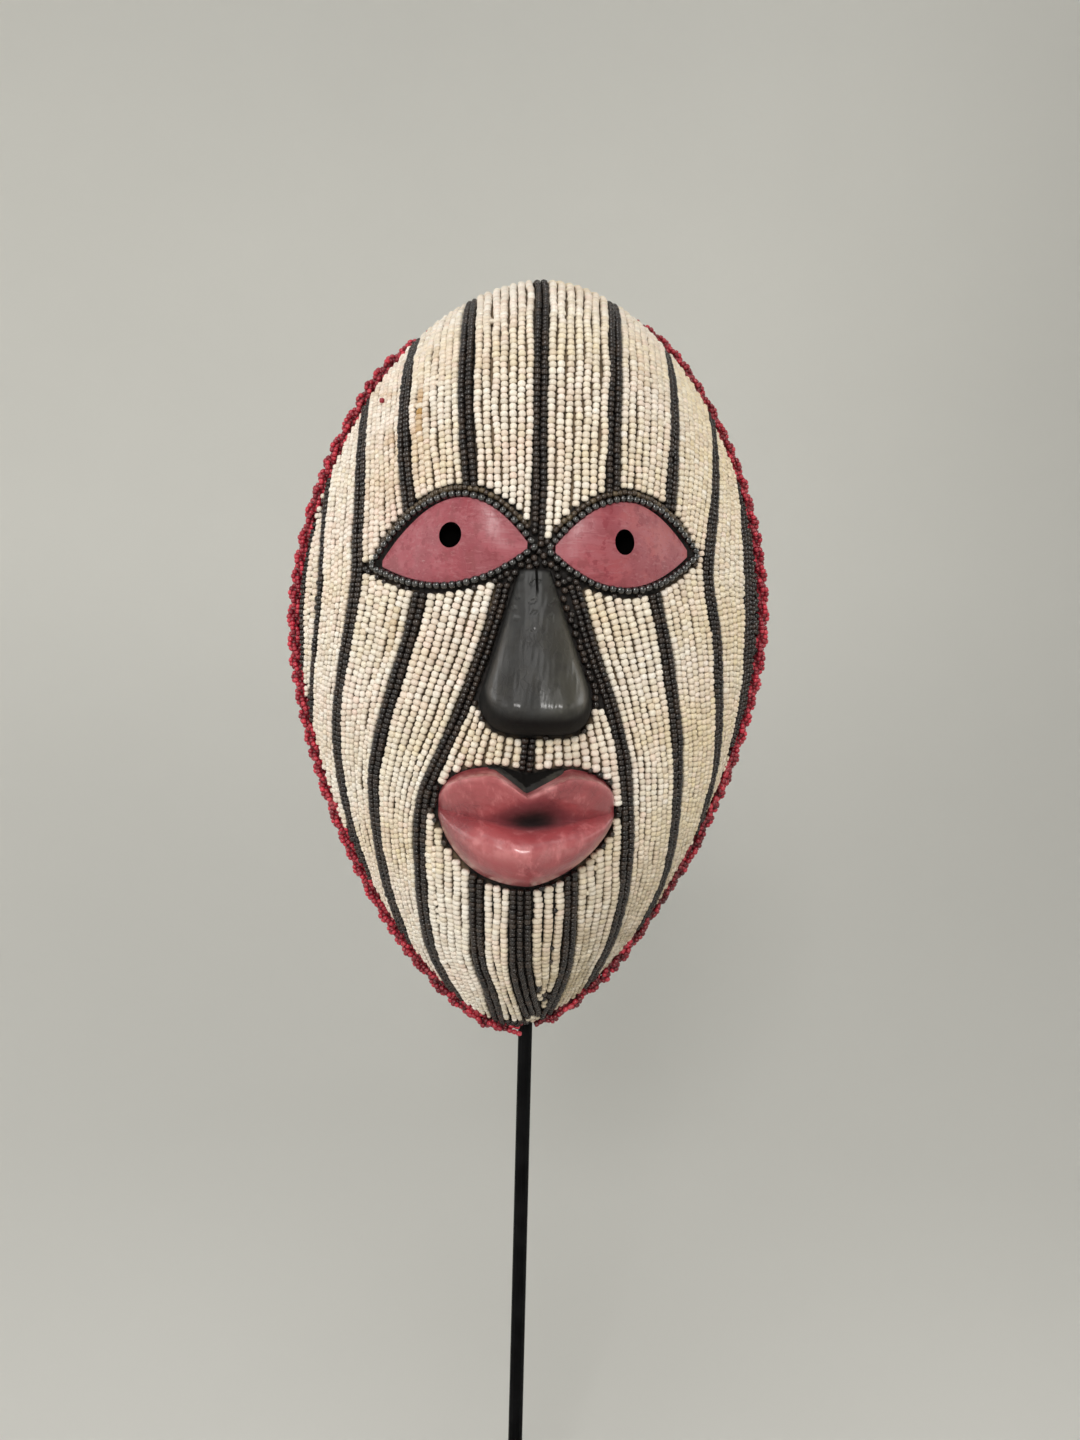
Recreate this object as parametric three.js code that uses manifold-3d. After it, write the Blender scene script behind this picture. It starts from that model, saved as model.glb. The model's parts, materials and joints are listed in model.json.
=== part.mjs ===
// Beaded face mask of carved wood on a steel rod with a foot plate.
// Millimetres, +Z up, the face looks towards -Y. The origin is the centre of the foot plate's underside.
import * as THREE from "three";
import { mergeVertices } from "three/addons/utils/BufferGeometryUtils.js";
import Module from "manifold-3d";

const wasm = await Module();
wasm.setup();

// Stand
const BASE_SIDE = 150;
const BASE_THICK = 10;
const BASE_CORNER = 6;
const BASE_BEVEL = 1;
const ROD_DIAMETER = 6;
const ROD_BELOW_CHIN = 240;
const ROD_BEND = 14;
const ROD_ARM_HEIGHT = 104;
const ROD_TIP_ROOM = 2;
const GAP = 0.3;

// Mask shell: half width, height above and below the widest line, depth of the dome, wall
const HALF_WIDTH = 97.5;
const CROWN = 142.5;
const CHIN = 170;
const DEPTH = 66;
const WALL = 8;
// Roundness of the rim outline over and under the widest line
const CROWN_OUTLINE = 1.88;
const CHIN_OUTLINE = 1.57;
// Fullness of the dome at the temples, the cheeks, the crown and the chin: a higher one is boxier
const TEMPLE_FULL = 2.3;
const CHEEK_FULL = 3.0;
const CROWN_FULL = 7.5;
const CHIN_FULL = 4.5;
const CHEEK_BELOW = 60;
const RIM_LEAN = 0.018;

// Place of the mask's widest line on the rim plane
const MASK_X = -2;
const MASK_Y = -(ROD_DIAMETER / 2 + 2 * GAP);
const MASK_Z = BASE_THICK + ROD_BELOW_CHIN + CHIN + 6;

// Bead work: heights over the wood
const BEAD_UNDER = 1.3;
const BEAD_VALLEY = 2.1;
const BEAD_CREST = 3.3;
const STRIPE_CREST = 3;
const STRAND = 2.6;
const STRIPE_SLANT = 1.35;
const EYE_BEAD = 3;
const EYE_BEAD_PITCH = 4;
const FIELD_STEP = 28;
const STRIPE_STEP = 27;

// Rope round the rim: three twisted strings, in front of the rim's edge and tucked behind the crown
const ROPE_RADIUS = 3;
const ROPE_LOBE = 0.14;
const ROPE_LIFT = 4.15;
const ROPE_FRONT = -52;
const ROPE_TUCK = 105;
const TUCK_RIGHT = [40, 85];
const TUCK_LEFT = [118, 148];
const ROPE_STRINGS = 3;
const ROPE_TURN = 39;
const ROPE_STEPS = 76;
const ROPE_SIDES = 6;

// Edge of the bead work along the rim, round the eyes and round the bare wood
const RIM_MARGIN = 5.8;
const EYE_MARGIN_UP = 4.8;
const EYE_MARGIN_DOWN = 2.4;
const WOOD_MARGIN = 1.4;

// Nose and lips
const NOSE = {
  x: -0.5, lean: 0.035, top: 14, bottom: -46, corner: 6.8, narrow: 5.9, wide: 24.9, root: 3, tip: 25,
};
const LIPS = {
  x: -3, half: 33.4, z: -79, lift: 5, up: 20.4, dip: 7.5, down: 23.2,
  crest: 15, line: 8.5, full: 18,
};

// Eyes: the beaded outline's corners, its rise over and under their chord, and the pupil
const EYES = [
  {
    side: "left", a: [-62.3, 16.5], b: [-2.8, 22.3], up: 21.8, down: 11.4,
    pupil: [-33.7, 26.3], hole: [8.2, 9.4],
  },
  {
    side: "right", a: [1.8, 21.2], b: [59.8, 24.8], up: 18.6, down: 15.2,
    pupil: [30.3, 25.5], hole: [7.6, 9.4],
  },
];
const EYE_PLATE = 2.6;
const EYE_DOME = 1.6;
const PUPIL_DEPTH = 3.5;

// Black stripes: how wide they are, and [z, x] points of their middle line from top to bottom
const STRIPES = {
  centre: stripe(2, [[145, 0], [100, -1.8], [60, -2], [22, -1.6]]),
  left_1: stripe(2, [[140, -27], [110, -28], [75, -28.7], [40, -26.3]]),
  left_2: stripe(2, [[122, -49], [90, -51.7], [60, -51.3], [36, -48.5]]),
  left_3: stripe(2, [
    [98, -69.5], [60, -69.5], [30, -68.8], [14, -68.4], [-20, -73.5], [-48, -76.5], [-80, -72], [-116, -62],
  ]),
  left_4: stripe(1, [[70, -83.5], [45, -85.2], [10, -84.8], [-12, -87.2], [-50, -89.5]]),
  left_rim: stripe(1, [[36, -90.2], [16, -93], [0, -94], [-20, -93]]),
  right_1: stripe(2, [[140, 30], [114, 26.2], [79, 25], [40, 24.6]]),
  right_2: stripe(2, [[122, 54], [105, 51], [70, 49.5], [40, 47.7]]),
  right_3: stripe(2, [
    [98, 73], [60, 70.7], [33, 67.5], [16, 66.4], [-7, 70.8], [-35, 74], [-63, 74.9], [-95, 70],
  ]),
  right_rim: stripe(3, [[64, 86.5], [37, 88.5], [3, 89.3], [-30, 88.6], [-50, 85]]),
  cheek_left_1: stripe(2, [
    [9, -13.3], [-12, -18.9], [-34, -26.1], [-56, -35.4], [-72, -40.7],
    [-104, -41.2], [-135, -36.3], [-160, -24],
  ]),
  cheek_left_2: stripe(2, [[9, -42.6], [-19, -49.5], [-49, -58], [-68, -60.2], [-105, -56.3], [-138, -46]]),
  cheek_right_1: stripe(2, [
    [9, 11.8], [-12, 18], [-34, 26.2], [-62, 33.2], [-94, 35.7], [-125, 34], [-156, 25],
  ]),
  cheek_right_2: stripe(2, [[11, 41.5], [-19, 48.8], [-50, 54], [-80, 56.8], [-105, 55], [-132, 46]]),
  lip: stripe(2, [[-44, -3.4], [-66, -4.4]]),
  chin_left: stripe(2, [[-88, -21], [-130, -18.7], [-150, -13], [-168, -8.5]]),
  chin_centre: stripe(3, [[-98, -4.8], [-132, -3.2], [-155, -0.6], [-168, 0]]),
  chin_right: stripe(2, [[-88, 13], [-134, 14.6], [-150, 12.3], [-168, 8]]),
};

// A smooth curve x(z) through [z, x] points given from top to bottom, straight on past its ends
function line(points) {
  const slope = points.map((point, i) => {
    const before = points[Math.max(i - 1, 0)];
    const after = points[Math.min(i + 1, points.length - 1)];
    return (after[1] - before[1]) / (after[0] - before[0]);
  });
  const last = points.length - 1;
  return (z) => {
    if (z >= points[0][0]) return points[0][1] + slope[0] * (z - points[0][0]);
    if (z <= points[last][0]) return points[last][1] + slope[last] * (z - points[last][0]);
    const i = points.findIndex((point) => point[0] <= z) - 1;
    const span = points[i + 1][0] - points[i][0];
    const t = (z - points[i][0]) / span;
    const rise = points[i + 1][1] - points[i][1];
    const bend = (1 - t) * (slope[i] * span - rise) + t * (rise - slope[i + 1] * span);
    return points[i][1] + rise * t + bend * t * (1 - t);
  };
}

// A stripe of strands: its half width, its middle line and how far up and down it may run
function stripe(strands, points) {
  const half = (strands * STRAND) / 2;
  return { strands, half, x: line(points), top: points[0][0], bottom: points.at(-1)[0] };
}

const smooth = (t) => {
  const s = Math.min(Math.max(t, 0), 1);
  return s * s * (3 - 2 * s);
};

// How far a point lies towards the rim, from 0 in the middle to 1 on the rim, and the dome's fullness there
function dome(x, z, inset) {
  const upper = z > 0;
  const outline = upper ? CROWN_OUTLINE : CHIN_OUTLINE;
  const across = Math.pow(Math.abs((x - RIM_LEAN * z) / (HALF_WIDTH - inset)), outline);
  const along = Math.pow(Math.abs(z / ((upper ? CROWN : CHIN) - inset)), outline);
  const sum = Math.max(across + along, 1e-9);
  const side = TEMPLE_FULL + (CHEEK_FULL - TEMPLE_FULL) * smooth(-z / CHEEK_BELOW);
  const end = upper ? CROWN_FULL : CHIN_FULL;
  return { reach: Math.pow(sum, 1 / outline), full: side + (end - side) * Math.pow(along / sum, 2) };
}

// Height of the wood in front of the rim plane, or of the hollow behind it with an inset
function height(x, z, inset = 0) {
  const { reach, full } = dome(x, z, inset);
  return (DEPTH - inset) * (1 - Math.pow(Math.min(reach, 1.02), full));
}

// A point at a given height over the wood, square to it
function onMask(x, z, proud) {
  const step = 0.1;
  const slopeX = (height(x + step, z) - height(x - step, z)) / (2 * step);
  const slopeZ = (height(x, z + step) - height(x, z - step)) / (2 * step);
  const normal = new THREE.Vector3(-slopeX, -1, -slopeZ).normalize();
  return new THREE.Vector3(x, -height(x, z), z).addScaledVector(normal, proud);
}

// Half width of a stripe at a height, less where the wood turns steeply to the side
function halfWidth({ x, half }, z) {
  const step = 0.5;
  const slope = (height(x(z) + step, z) - height(x(z) - step, z)) / (2 * step);
  return half / Math.max(1, Math.hypot(1, slope) / STRIPE_SLANT);
}

// Distance to the rim, measured over the wood
function rimDistance(x, z) {
  const { reach, full } = dome(x, z, 0);
  const rim = Math.hypot(x, z) / reach;
  return (1 - reach) * rim * Math.hypot(1, (DEPTH * full) / rim);
}

// The almond outline of an eye, from corner a to corner b, over or under the chord
function eyeLine(eye, s, rise) {
  const x = (eye.a[0] + eye.b[0]) / 2 + (s * (eye.b[0] - eye.a[0])) / 2;
  const z = (eye.a[1] + eye.b[1]) / 2 + (s * (eye.b[1] - eye.a[1])) / 2;
  return [x, z + rise * (1 - s * s)];
}

// Distance to an eye's outline, negative inside it
function eyeDistance(eye, x, z) {
  const half = (eye.b[0] - eye.a[0]) / 2;
  const s = (x - (eye.a[0] + eye.b[0]) / 2) / half;
  const over = z - eyeLine(eye, s, 0)[1];
  if (Math.abs(s) >= 1) return Math.hypot((Math.abs(s) - 1) * half, over);
  const rise = over > 0 ? eye.up : eye.down;
  return (Math.abs(over) - rise * (1 - s * s)) / Math.hypot(1, (2 * rise * s) / half);
}

// Half width of the nose at a height, and the height of its lower edge
function noseWidth(z) {
  const t = (NOSE.top - z) / (NOSE.top - NOSE.bottom);
  return NOSE.narrow + (NOSE.wide - NOSE.narrow) * Math.min(Math.max(t, 0), 1);
}

const noseBottom = (u) => NOSE.bottom + NOSE.corner * Math.pow(u / 0.85, 4);

// The nose's middle line leans a little to its top
const noseMiddle = (z) => NOSE.x - NOSE.lean * (z - NOSE.bottom);

function noseDistance(x, z) {
  const width = noseWidth(z);
  const u = (x - noseMiddle(z)) / width;
  return Math.max((Math.abs(u) - 1) * width, z - NOSE.top, noseBottom(Math.min(Math.abs(u), 1)) - z);
}

// Upper edge, mouth line and lower edge of the lips at s, -1 and 1 being the sides of the mouth.
// The dip's right slope is the longer
function lipEdges(s) {
  const away = Math.min(Math.abs(s), 1);
  const from = s + 0.03;
  const dip = LIPS.dip * Math.pow(Math.max(1 - Math.abs(from) / (from < 0 ? 0.34 : 0.5), 0), 1.15);
  const middle = LIPS.z + LIPS.lift * Math.pow(away, 1.4);
  const upper = middle + LIPS.up * Math.pow(1 - Math.pow(away, 2.5), 0.45) - dip;
  const [power, root] = s < 0 ? [3, 0.67] : [1.7, 0.59];
  return [upper, middle, middle - LIPS.down * Math.pow(1 - Math.pow(away, power), root)];
}

function lipDistance(x, z) {
  const s = (x - LIPS.x) / LIPS.half;
  const [upper, middle, lower] = lipEdges(s);
  if (Math.abs(s) >= 1) return Math.hypot((Math.abs(s) - 1) * LIPS.half, z - middle);
  return Math.max(z - upper, lower - z);
}

// Room left for the bead work at a point, negative where it stops
function beadRoom(x, z) {
  const eyes = EYES.map((eye) => {
    const s = (2 * (x - eye.a[0])) / (eye.b[0] - eye.a[0]) - 1;
    const above = z > eyeLine(eye, s, 0)[1] ? smooth((1.05 - Math.abs(s)) / 0.3) : 0;
    return eyeDistance(eye, x, z) - EYE_MARGIN_DOWN - (EYE_MARGIN_UP - EYE_MARGIN_DOWN) * above;
  });
  return Math.min(
    rimDistance(x, z) - RIM_MARGIN,
    ...eyes,
    noseDistance(x, z) - WOOD_MARGIN,
    lipDistance(x, z) - WOOD_MARGIN,
  );
}

// Height at which a strand runs out of room on its way from a height to a limit
function strandEnd(x, from, limit) {
  const step = Math.sign(limit - from);
  let inside = from;
  let outside = from + step;
  while (beadRoom(x(outside), outside) > 0) {
    if ((limit - outside) * step <= 0) return limit;
    inside = outside;
    outside += step;
  }
  for (let i = 0; i < 12; i += 1) {
    const middle = (inside + outside) / 2;
    if (beadRoom(x(middle), middle) > 0) inside = middle;
    else outside = middle;
  }
  return inside;
}

// Gathers vertices and triangles of one closed body
class Skin {
  constructor() {
    this.vertices = [];
    this.triangles = [];
  }

  row(points) {
    return points.map((point) => this.vertices.push(point) - 1);
  }

  // Triangles between two rows of vertices, which may differ in number
  stitch(a, b) {
    let i = 0;
    let j = 0;
    while (i < a.length - 1 || j < b.length - 1) {
      const nextA = i < a.length - 1 ? (i + 1) / (a.length - 1) : 2;
      const nextB = j < b.length - 1 ? (j + 1) / (b.length - 1) : 2;
      if (nextA <= nextB) {
        this.triangles.push(a[i], a[i + 1], b[j]);
        i += 1;
      } else {
        this.triangles.push(a[i], b[j + 1], b[j]);
        j += 1;
      }
    }
  }

  geometry() {
    const geometry = new THREE.BufferGeometry();
    const places = this.vertices.flatMap((vertex) => vertex.toArray());
    geometry.setAttribute("position", new THREE.Float32BufferAttribute(places, 3));
    geometry.setIndex(this.triangles);
    return geometry;
  }
}

// A closed body between a front sheet and a back sheet, given as rows of points
function sheetBody(frontPoints, backPoints) {
  const skin = new Skin();
  const front = frontPoints.map((points) => skin.row(points));
  const back = backPoints.map((points) => skin.row(points));
  const column = (rows, pick) => rows.map((row) => row.at(pick));
  for (let k = 0; k < front.length - 1; k += 1) skin.stitch(front[k + 1], front[k]);
  for (let k = 0; k < back.length - 1; k += 1) skin.stitch(back[k], back[k + 1]);
  skin.stitch(front[0], back[0]);
  skin.stitch(back.at(-1), front.at(-1));
  skin.stitch(column(back, 0), column(front, 0));
  skin.stitch(column(front, -1), column(back, -1));
  return skin.geometry();
}

// A ring made of loops of points, the last joined to the first
function ringBody(loops) {
  const skin = new Skin();
  const rows = loops.map((points) => skin.row(points));
  rows.forEach((row) => row.push(row[0]));
  rows.forEach((row, k) => skin.stitch(row, rows[(k + 1) % rows.length]));
  return skin.geometry();
}

function spread(from, to, count) {
  return Array.from({ length: count + 1 }, (_, i) => from + ((to - from) * i) / count);
}

// The length of a closed path and its point at a distance along it
function paced(path, samples) {
  const fine = spread(0, 1, samples).map(path);
  const lengths = [0];
  fine.slice(1).forEach((point, i) => lengths.push(lengths[i] + point.distanceTo(fine[i])));
  const total = lengths.at(-1);
  const at = (distance) => {
    const wrapped = (distance + total) % total;
    const i = Math.max(lengths.findIndex((length) => length > wrapped), 1);
    const share = (wrapped - lengths[i - 1]) / (lengths[i] - lengths[i - 1]);
    return fine[i - 1].clone().lerp(fine[i], share);
  };
  return { total, at };
}

// A given number of steps along a family of curves, so placed that their chords stray equally little
function stepsAlong(curves, count) {
  const strayAt = (curve, from, to, t) => {
    const chord = curve(from).clone().lerp(curve(to), t);
    return chord.distanceTo(curve(from + (to - from) * t));
  };
  const stray = (from, to) => Math.max(
    ...curves.flatMap((curve) => [0.25, 0.5, 0.75].map((t) => strayAt(curve, from, to, t))),
  );
  const walk = (allowed) => {
    const steps = [0];
    while (steps.at(-1) < 1) {
      const from = steps.at(-1);
      let to = 1;
      while (to - from > 0.02 && stray(from, to) > allowed) to -= 0.01;
      steps.push(to);
    }
    return steps;
  };
  let low = 0.01;
  let high = 20;
  for (let i = 0; i < 14; i += 1) {
    const middle = Math.sqrt(low * high);
    if (walk(middle).length > count + 1) low = middle;
    else high = middle;
  }
  return walk(high);
}

// Bead work between two lines: strands side by side, each a ridge, ending where the room ends
function beadWork({ left, right, strands, top, bottom, crest, step }) {
  const strand = (share) => {
    const x = (z) => left(z) + (right(z) - left(z)) * share;
    const from = (top + bottom) / 2;
    const upper = strandEnd(x, from, top);
    const lower = strandEnd(x, from, bottom);
    return (t, proud) => {
      const z = upper + (lower - upper) * t;
      return onMask(x(z), z, proud);
    };
  };
  const ridges = spread(0, 1, 2 * strands).map(strand);
  const backs = spread(0, 1, Math.ceil(strands / 3)).map(strand);
  const guides = [ridges[0], ridges[strands], ridges.at(-1)].map((curve) => (t) => curve(t, 0));
  const lengths = guides.map((curve) => curve(0).distanceTo(curve(0.5)) + curve(0.5).distanceTo(curve(1)));
  const steps = stepsAlong(guides, Math.ceil(Math.max(...lengths) / step));
  const front = steps.map((t) => ridges.map((curve, i) => curve(t, i % 2 ? crest : BEAD_VALLEY)));
  const back = steps.map((t) => backs.map((curve) => curve(t, BEAD_UNDER)));
  return sheetBody(front, back);
}

// Solid for joining and cutting
function solid(geometry) {
  const bare = geometry.clone();
  bare.deleteAttribute("normal");
  bare.deleteAttribute("uv");
  const merged = mergeVertices(bare, 1e-4);
  return new wasm.Manifold(new wasm.Mesh({
    numProp: 3,
    vertProperties: new Float32Array(merged.attributes.position.array),
    triVerts: new Uint32Array(merged.index.array),
  }));
}

function fromSolid(manifold) {
  const mesh = manifold.getMesh();
  const geometry = new THREE.BufferGeometry();
  geometry.setAttribute("position", new THREE.BufferAttribute(new Float32Array(mesh.vertProperties), 3));
  geometry.setIndex(new THREE.BufferAttribute(new Uint32Array(mesh.triVerts), 1));
  return geometry;
}

// The rim's edge at an angle, 0 being the right side and a quarter turn the crown
function rimEdge(angle, inset = 0) {
  const c = Math.cos(angle);
  const s = Math.sin(angle);
  const power = 2 / (s > 0 ? CROWN_OUTLINE : CHIN_OUTLINE);
  const z = ((s > 0 ? CROWN : CHIN) - inset) * Math.sign(s) * Math.pow(Math.abs(s), power);
  const x = (HALF_WIDTH - inset) * Math.sign(c) * Math.pow(Math.abs(c), power) + RIM_LEAN * z;
  return new THREE.Vector3(x, 0, z);
}

// The hollow wooden shell, as rings from the face's middle out over the rim and back into the hollow
function shell() {
  const around = 36;
  const skin = new Skin();
  const ring = (reach, inset) => spread(0, 2 * Math.PI, around).slice(0, -1).map((angle) => {
    const point = rimEdge(angle, inset).multiplyScalar(reach);
    return reach === 1 ? point : point.setY(-height(point.x, point.z, inset));
  });
  const outer = [0.16, 0.34, 0.5, 0.64, 0.76, 0.85, 0.92, 0.97, 1].map((reach) => ring(reach, 0));
  const inner = [1, 0.95, 0.85, 0.7, 0.5, 0.26].map((reach) => ring(reach, WALL));
  const rows = [...outer, ...inner].map((points) => skin.row(points));
  rows.forEach((row) => row.push(row[0]));
  const middle = skin.row([new THREE.Vector3(0, -height(0, 0), 0)]);
  const hollow = skin.row([new THREE.Vector3(0, -height(0, 0, WALL), 0)]);
  skin.stitch(rows[0], middle);
  for (let k = 0; k < rows.length - 1; k += 1) skin.stitch(rows[k + 1], rows[k]);
  skin.stitch(hollow, rows.at(-1));
  return skin.geometry();
}

// A carved form on the shell, given by its plan and its height, rooted inside the wall
function carving(plan, rise, columns, rows) {
  const root = 4;
  const sheet = (proud) => rows.map((v) => columns.map((u) => {
    const [x, z] = plan(u, v);
    return onMask(x, z, 0).add(new THREE.Vector3(0, proud(u, v), 0));
  }));
  return sheetBody(sheet((u, v) => -rise(u, v)), sheet(() => root));
}

// Nose: a long wedge that widens to two full wings, with a faint groove between them
function nose() {
  const plan = (u, v) => {
    const z = NOSE.top + (noseBottom(u) - NOSE.top) * v;
    return [noseMiddle(z) + u * noseWidth(z), z];
  };
  const rise = (u, v) => {
    const ridge = NOSE.root + (NOSE.tip - NOSE.root) * Math.pow(v, 0.9);
    const under = Math.sqrt(1 - Math.pow(Math.max((v - 0.8) / 0.2, 0), 2.4));
    const section = Math.pow(1 - Math.pow(Math.abs(u), 2.8), 0.58);
    const groove = 0.9 * Math.exp(-Math.pow(u / 0.16, 2)) * smooth((v - 0.35) / 0.4);
    const wings = 1.4 * Math.exp(-Math.pow((Math.abs(u) - 0.5) / 0.3, 2) - Math.pow((v - 0.82) / 0.14, 2));
    return Math.max(ridge * section - groove + wings, 0) * under - 0.4 * (1 - under);
  };
  const columns = [-1, -0.93, -0.75, -0.5, -0.2, 0, 0.2, 0.5, 0.75, 0.93, 1];
  return carving(plan, rise, columns, [0, 0.14, 0.34, 0.56, 0.74, 0.82, 0.89, 0.95, 0.985, 1]);
}

// Lips: a crisp upper edge, an upper lip that falls inward to the mouth line, and a full lower lip.
// v is 0 at the upper edge, 1 at the mouth line and 2 at the lower edge
function lips() {
  const plan = (u, v) => {
    const s = u * 0.985;
    const [upper, middle, lower] = lipEdges(s);
    const z = v < 1 ? upper + (middle - upper) * v : middle + (lower - middle) * (v - 1);
    return [LIPS.x + LIPS.half * s, z];
  };
  const rise = (u, v) => {
    const sides = Math.sqrt(1 - Math.pow(Math.abs(u), 7)) * (1 - 0.3 * u * u);
    const mouth = 3.5 * Math.exp(-Math.pow((u - 0.12) / 0.3, 2) - Math.pow((v - 0.95) / 0.22, 2));
    const upper = LIPS.crest * smooth(v / 0.16) - (LIPS.crest - LIPS.line) * smooth((v - 0.1) / 0.95);
    const swell = LIPS.line + (LIPS.full - LIPS.line) * smooth((v - 1) / 0.42);
    const turn = Math.sqrt(Math.max(1 - Math.pow(Math.max((v - 1.4) / 0.6, 0), 2.2), 0));
    return ((v < 1 ? upper : swell * turn) - mouth) * sides;
  };
  const columns = [-1, -0.97, -0.85, -0.65, -0.42, -0.22, -0.03, 0.16, 0.34, 0.52, 0.72, 0.88, 0.97, 1];
  return carving(plan, rise, columns, [0, 0.08, 0.2, 0.6, 1, 1.16, 1.42, 1.7, 1.9, 2]);
}

// Smooth almond plate of an eye, slightly domed
function eyePlate(eye) {
  const shrink = EYE_BEAD / 2 + GAP + 0.1;
  const half = (eye.b[0] - eye.a[0]) / 2;
  const plan = (u, v) => {
    const s = u * (1 - (2.2 * shrink) / half);
    const upper = eyeLine(eye, s, eye.up)[1] - shrink * Math.hypot(1, (2 * eye.up * s) / half);
    const lower = eyeLine(eye, s, -eye.down)[1] + shrink * Math.hypot(1, (2 * eye.down * s) / half);
    return [eyeLine(eye, s, 0)[0], upper + (lower - upper) * v];
  };
  const rise = (u, v) => EYE_PLATE + EYE_DOME * (1 - u * u) * 4 * v * (1 - v);
  return carving(plan, rise, spread(-1, 1, 8), spread(0, 1, 4));
}

// Blind hole of a pupil, sunk through the plate into the wall
function pupil(eye) {
  const length = 20;
  const hole = new THREE.CylinderGeometry(0.5, 0.5, length, 12);
  hole.scale(eye.hole[0], 1, eye.hole[1]);
  hole.translate(eye.pupil[0], PUPIL_DEPTH - length / 2 - height(...eye.pupil), eye.pupil[1]);
  return hole;
}

function woodenMask() {
  let wood = solid(shell());
  [nose(), lips(), ...EYES.map(eyePlate)].forEach((form) => {
    wood = wood.add(solid(form));
  });
  EYES.map(pupil).forEach((hole) => {
    wood = wood.subtract(solid(hole));
  });
  return fromSolid(wood);
}

// A loop of points round a path, with the radius given by angle
function loopAt(centre, along, out, sides, radius) {
  const side = new THREE.Vector3().crossVectors(out, along).normalize();
  const up = new THREE.Vector3().crossVectors(along, side).normalize();
  return spread(0, 2 * Math.PI, sides).slice(0, -1).map((angle) => {
    const [across, over] = [Math.cos(angle), Math.sin(angle)].map((share) => share * radius(angle));
    return centre.clone().addScaledVector(side, across).addScaledVector(up, over);
  });
}

// String of round beads along an eye's outline, thick at each bead and thin between two
function eyeBeads(eye) {
  const trace = (t) => {
    const upper = t < 0.5;
    const s = upper ? 4 * t - 1 : 3 - 4 * t;
    return onMask(...eyeLine(eye, s, upper ? eye.up : -eye.down), BEAD_UNDER + EYE_BEAD / 2);
  };
  const { total, at } = paced(trace, 400);
  const beads = Math.round(total / EYE_BEAD_PITCH);
  const loops = spread(0, total, 2 * beads).slice(0, -1).map((distance, i) => {
    const along = at(distance + 1).sub(at(distance - 1)).normalize();
    const radius = (i % 2 ? 0.52 : 1) * (EYE_BEAD / 2);
    return loopAt(at(distance), along, new THREE.Vector3(0, -1, 0), 4, () => radius);
  });
  return ringBody(loops);
}

// One dull strand that follows the outside of an eye's upper outline
function browStrand(eye) {
  const half = (eye.b[0] - eye.a[0]) / 2;
  const offset = (s, away) => {
    const slope = (-2 * eye.up * s) / half;
    const [x, z] = eyeLine(eye, s, eye.up);
    const length = Math.hypot(1, slope);
    return [x - (away * slope) / length, z + away / length];
  };
  const inner = EYE_BEAD / 2 + GAP;
  const outer = inner + STRAND - GAP;
  const across = [[inner, BEAD_VALLEY], [(inner + outer) / 2, STRIPE_CREST], [outer, BEAD_VALLEY]];
  const steps = spread(-0.7, 0.7, 7);
  const front = steps.map((s) => across.map(([away, proud]) => onMask(...offset(s, away), proud)));
  const back = steps.map((s) => [inner, outer].map((away) => onMask(...offset(s, away), BEAD_UNDER)));
  return sheetBody(front, back);
}

// Twisted rope of bead strings that lies against the rim's front edge and is tucked behind the crown
function ropeEdging() {
  const path = (t) => {
    const angle = 2 * Math.PI * t;
    const tucked = (degrees, [from, to]) => smooth((degrees - from) / (to - from));
    const tuck = tucked(t * 360, TUCK_RIGHT) - tucked(t * 360, TUCK_LEFT);
    const turn = THREE.MathUtils.degToRad(ROPE_FRONT + (ROPE_TUCK - ROPE_FRONT) * tuck);
    const along = rimEdge(angle + 0.02).sub(rimEdge(angle - 0.02)).normalize();
    const outward = new THREE.Vector3(along.z, 0, -along.x);
    const lift = outward.multiplyScalar(Math.cos(turn)).add(new THREE.Vector3(0, Math.sin(turn), 0));
    return rimEdge(angle).addScaledVector(lift, ROPE_LIFT);
  };
  const { total, at } = paced(path, 1440);
  const turns = Math.round(total / ROPE_TURN);
  const loops = spread(0, total, ROPE_STEPS).slice(0, -1).map((distance) => {
    const along = at(distance + 2).sub(at(distance - 2)).normalize();
    const twist = (2 * Math.PI * turns * distance) / total;
    const lobes = (angle) => ROPE_RADIUS * (1 + ROPE_LOBE * Math.cos(ROPE_STRINGS * (angle - twist)));
    return loopAt(at(distance), along, new THREE.Vector3(0, -1, 0), ROPE_SIDES, lobes);
  });
  return ringBody(loops);
}

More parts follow.
